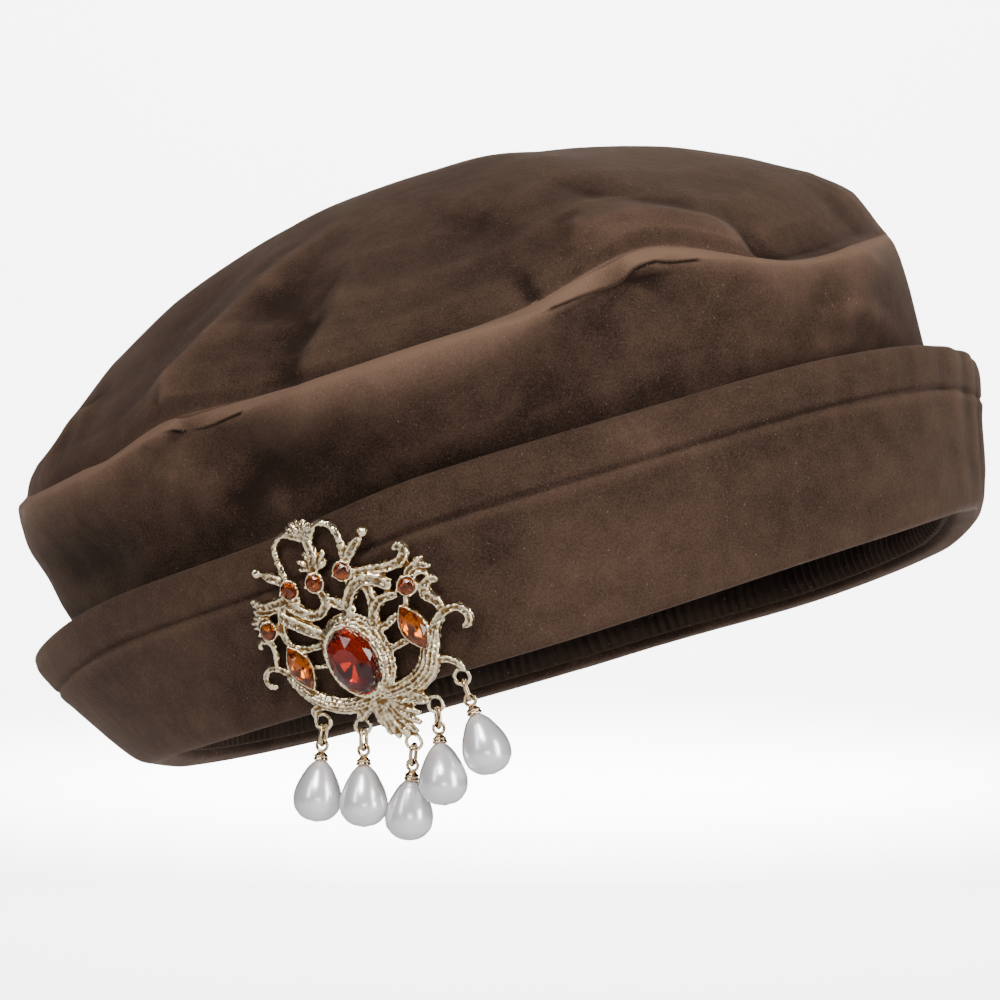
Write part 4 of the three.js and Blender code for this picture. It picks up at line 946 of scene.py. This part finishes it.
PALE_GOLD = plated("pale_gold_plate", (0.2, 0.1, 0.03, 1), (1, 0.86, 0.58, 1), "relief", 0.00003)
BRASS_WIRE = plated("brass_wire", (0.22, 0.12, 0.05, 1), (0.62, 0.46, 0.28, 1), None, 0.00003)
finished(casting, PALE_GOLD, "pale_gold", "brooch_frame")


# Cut stones. Moulded and polished glass with a table and facets, foiled behind so that light comes
# back through them. The middle one is deep red, the seven others amber, each held in its collar.
GIRDLE = 0.2


def clouded(tree, shader, scale, darker, colour):
    """Lets the base colour cloud between a darker one and its own."""
    dark = tuple(darker * part for part in colour[:3]) + (1,)
    cloud = noise(tree, scale, 2, 0.5, object_place(tree))
    tree.links.new(tinted(tree, cloud, dark, colour), shader.inputs["Base Color"])


def foiled(name, glass_colour, foil_colour):
    glass, tree, shader = material(name + "_glass")
    preset(shader, {"Transmission Weight": 1, "Roughness": 0.02, "IOR": 1.52})
    clouded(tree, shader, 260, 0.6, glass_colour)
    foil, tree, shader = material(name + "_foil")
    preset(shader, {"Metallic": 1, "Roughness": 0.13})
    clouded(tree, shader, 700, 0.5, foil_colour)
    return glass, foil


RED_STONE = foiled("red_stone", (0.38, 0.026, 0.008, 1), (1, 0.6, 0.22, 1))
AMBER_STONE = foiled("amber_stone", (0.7, 0.2, 0.01, 1), (1, 0.72, 0.24, 1))
for stone in STONES:
    crown = GIRDLE + 0.58 * (stone.rise - GIRDLE)
    rings = [stone_ring(stone, -0.05, share, stone.seat + height, offset) for share, height, offset in (
        (0.12, -1.9, 0.5), (0.55, -1.2, 0.5), (1, 0, 0), (1, GIRDLE, 0), (0.84, crown, 0.5),
        (0.5, stone.rise, 0))]
    bm = bmesh.new()
    swept(bm, [off_brooch(ring) for ring in rings])
    bmesh.ops.triangulate(bm, faces=[face for face in bm.faces if len(face.verts) == 4])
    bmesh.ops.recalc_face_normals(bm, faces=bm.faces)
    mesh = mesh_of(stone.name, bm)
    is_red = stone.name == "stone_oval"
    glass, foil = RED_STONE if is_red else AMBER_STONE
    finished(shown("cut_" + stone.name, mesh), glass, "red_stone" if is_red else "amber_stone", stone.name)
    mesh.materials.append(foil)
    face_out = np.array(BROOCH_OUT)
    for polygon in mesh.polygons:
        polygon.material_index = int(np.dot(polygon.normal, face_out) < -0.1)


# Drops. Each hangs from its ring on the casting by a long link of brass wire, a bead cap with a
# wire eye, and a moulded pear drop in pearl lacquer, pegged into the cap.
LINK_HALF_WIDTH = 1.5
LINK_LENGTH = 4.5
EYE_RADIUS = 1.2
EYE_WIRE = 0.36
CAP_RADIUS = 1.6
CAP_HEIGHT = 1.5
PEARL_LENGTH = 13.4
PEARL_WIDTH = 10.5
DROP_GAP = 0.3
CAP_LINE = table("down half", [
    (-0.1, 0), (-0.08, 0.3), (0.1, 0.55), (0.35, 0.62), (0.5, 0.7), (0.7, 0.92), (0.95, 0.96),
    (1.1, 0.86), (1.25, 0.9), (1.5, 1), (1.8, 1), (1.85, 0.9), (1.6, 0.5), (1.5, 0)])
PEARL_LINE = table("down half", [
    (0, 0.2), (0.03, 0.3), (0.12, 0.51), (0.25, 0.7), (0.38, 0.86), (0.5, 0.96), (0.62, 1), (0.78, 0.93),
    (0.9, 0.7), (0.96, 0.45), (1, 0)])


def unit(vector):
    return vector / np.linalg.norm(vector)


def wire_rings(middle, across, up, radius, straight, wire, steps):
    """A ring or long link of round wire, in the plane of two directions."""
    through = np.cross(across, up)
    rings = []
    for turn in np.linspace(0, math.tau, steps, endpoint=False):
        out = math.cos(turn) * across + math.sin(turn) * up
        spot = middle + out * radius + up * math.copysign(straight / 2, math.sin(turn) + 1e-9)
        sides = np.linspace(0, math.tau, 12, endpoint=False)[:, None]
        rings.append((spot + wire * (np.cos(sides) * out + np.sin(sides) * through)) * MM)
    return rings


def turned_form(bm, line, top, up, across, flutes=0.0):
    """Spins a line of (down, radius) rows round the drop's own axis, and closes its poles."""
    through = np.cross(across, up)
    column = [bm.verts.new((radius, 0, -down)) for down, radius in line]
    edges = [bm.edges.new(pair) for pair in zip(column, column[1:])]
    before = set(bm.verts) - set(column)
    bmesh.ops.spin(bm, geom=column + edges, cent=(0, 0, 0), axis=(0, 0, 1), angle=math.tau, steps=40,
                   use_merge=True, use_duplicate=False)
    fresh = [vert for vert in bm.verts if vert not in before]
    for vert in fresh:
        x, y, z = vert.co
        swell = 1 + flutes * math.cos(10 * math.atan2(y, x))
        vert.co = (top + across * x * swell + through * y * swell + up * z) * MM
    bmesh.ops.remove_doubles(bm, verts=fresh, dist=1e-7)


def smooth_piece(name, bm):
    bmesh.ops.recalc_face_normals(bm, faces=bm.faces)
    mesh = mesh_of(name, bm)
    mesh.shade_smooth()
    return shown(name, mesh)


pearl, tree, shader = material("pearl_lacquer")
where = object_place(tree)
edge_on = tree.nodes.new("ShaderNodeLayerWeight")
edge_on.inputs["Blend"].default_value = 0.35
cloud = tinted(tree, noise(tree, 160, 2, 0.5, where), (0.92, 0.9, 0.91, 1), (0.97, 0.95, 0.955, 1))
# The rim seen edge-on turns darker and lilac: partly the lacquer's lilac tint, partly painted shade at the
# edge
lustre_and_rim_shade = tinted(tree, edge_on.outputs["Facing"], cloud, (0.74, 0.69, 0.74, 1))
tree.links.new(lustre_and_rim_shade, shader.inputs["Base Color"])
preset(shader, {"Metallic": 0.5, "Roughness": 0.26, "Coat Weight": 1, "Coat Roughness": 0.14})
bumped(tree, shader, noise(tree, 900, 2, 0.5, where), 0.00002)

for number, (ring, lean, turn, forward) in enumerate(DROPS, 1):
    middle = off_brooch(on_brooch(*ring, FRAME_BASE / 2)) / MM
    facing = np.array(BROOCH_OUT)
    lean, turn, forward = math.radians(lean), math.radians(turn), math.radians(forward)
    down = unit(np.array([math.sin(lean), -math.sin(forward), -math.cos(lean)]))
    in_ring = unit(down - facing * down.dot(facing))
    ring_foot = middle + in_ring * RING_RADIUS
    along = unit(np.cross(facing, in_ring))
    through = unit(np.cross(down, along))
    link_across = along * math.cos(turn) + through * math.sin(turn)
    up = -down
    link_top = -(2 * RING_WIRE + DROP_GAP)
    eye_top = link_top + LINK_LENGTH - RING_WIRE - EYE_WIRE - DROP_GAP
    link_middle = ring_foot + down * (link_top + LINK_LENGTH / 2)
    eye_middle = ring_foot + down * (eye_top + EYE_RADIUS)
    eye_across = unit(np.cross(link_across, up))
    bm = bmesh.new()
    swept(bm, wire_rings(link_middle, link_across, up, LINK_HALF_WIDTH, LINK_LENGTH - 2 * LINK_HALF_WIDTH,
                         RING_WIRE, 32), closed=True)
    finished(smooth_piece(f"wire_link_{number}", bm), BRASS_WIRE, "brass_wire", f"link_{number}")
    bm = bmesh.new()
    swept(bm, wire_rings(eye_middle, eye_across, up, EYE_RADIUS, 0, EYE_WIRE, 28), closed=True)
    cup = EYE_RADIUS + EYE_WIRE / 2
    cap_line = [(cup + row["down"], CAP_RADIUS * row["half"]) for row in CAP_LINE]
    turned_form(bm, cap_line, eye_middle, up, eye_across, 0.03)
    finished(smooth_piece(f"bead_cap_{number}", bm), BRASS_WIRE, "brass_wire", f"cap_{number}")
    bm = bmesh.new()
    rows = np.linspace(0, 1, 34)
    rows = 0.5 - 0.5 * np.cos(math.pi * rows)
    radii = eased(rows, PEARL_LINE["down"], PEARL_LINE["half"]) * PEARL_WIDTH / 2
    line = [(0, 0)] + [(row * PEARL_LENGTH, radius) for row, radius in zip(rows, radii)]
    turned_form(bm, line, eye_middle + down * (cup + CAP_HEIGHT + DROP_GAP), up, eye_across)
    finished(smooth_piece(f"pear_drop_{number}", bm), pearl, "pearl", f"pearl_{number}")


# Pin. One plain brass wire that goes through the cuff behind the brooch: it is hidden, and its
# form is the solid's own.
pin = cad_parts["brooch_pin"]
pin.data.materials.clear()
pin.data.materials.append(BRASS_WIRE)


# Floor, light and camera. A pale paper floor swept up behind into a backdrop and washed by two
# spots, soft boxes in front, at both sides and above, and the camera level with the hat.
FLOOR_HALF = 4
SWEEP = [(-2.5, -0.22), (2, -0.22), (2.6, -0.12), (3, 0.2), (3.1, 0.7), (3.1, 3)]
HAT = (0, 0, 0.03)
CAMERA_PLACE = (-0.0153, -1.1, 0.0323)

bm = bmesh.new()
line = [bm.verts.new((-FLOOR_HALF, y, z)) for y, z in SWEEP]
edges = [bm.edges.new(pair) for pair in zip(line, line[1:])]
across = bmesh.ops.extrude_edge_only(bm, edges=edges)["geom"]
points = [part for part in across if isinstance(part, bmesh.types.BMVert)]
bmesh.ops.translate(bm, verts=points, vec=(2 * FLOOR_HALF, 0, 0))
floor = smooth_piece("studio_floor", bm)
paper, tree, shader = material("pale_paper")
shader.inputs["Roughness"].default_value = 0.9
white = tinted(tree, noise(tree, 3, 2, 0.5, object_place(tree)), (0.9, 0.9, 0.9, 1), (0.93, 0.93, 0.93, 1))
tree.links.new(white, shader.inputs["Base Color"])
floor.data.materials.append(paper)

world = bpy.data.worlds.new("studio")
bpy.context.scene.world = world
world.use_nodes = True
preset(world.node_tree.nodes["Background"], {"Color": (1, 1, 1, 1), "Strength": 0.14})


def aimed(light, place, aim):
    lamp = shown(light.name, light)
    lamp.location = place
    lamp.rotation_euler = (Vector(aim) - Vector(place)).to_track_quat("-Z", "Y").to_euler()


def softbox(name, place, size, power, beam=180):
    light = bpy.data.lights.new(name, "AREA")
    light.spread = math.radians(beam)
    light.shape = "RECTANGLE"
    light.size, light.size_y = size
    light.energy = power
    aimed(light, place, HAT)


softbox("key_front", (-0.45, -1.4, 1.4), (0.6, 0.6), 3.3, 60)
softbox("strip_right", (1.2, -1, 0.35), (0.4, 1.3), 22)
softbox("strip_left", (-1, -1.1, 0.7), (0.3, 1.1), 6)
softbox("top", (0.1, 0.2, 1.5), (1, 0.7), 0.8)
softbox("low_front", (0.1, -1.6, -0.1), (0.5, 0.15), 2)


def washed(name, place, aim, cone, power):
    light = bpy.data.lights.new(name, "SPOT")
    light.energy = power
    light.spot_size = math.radians(cone)
    light.spot_blend = 0.6
    aimed(light, place, aim)


washed("backdrop_wash", (0, 0.9, 1.9), (0, 2.9, 0.1), 44, 1900)
washed("floor_wash", (0, 1.6, 1.6), (0, 1.7, -0.22), 56, 800)

camera = bpy.data.cameras.new("camera")
camera.sensor_width = 36
camera.lens = 168.5
camera.clip_start, camera.clip_end = 0.05, 20
view = shown("camera", camera)
view.location = CAMERA_PLACE
view.rotation_euler = (math.pi / 2, 0, 0)
bpy.context.scene.camera = view
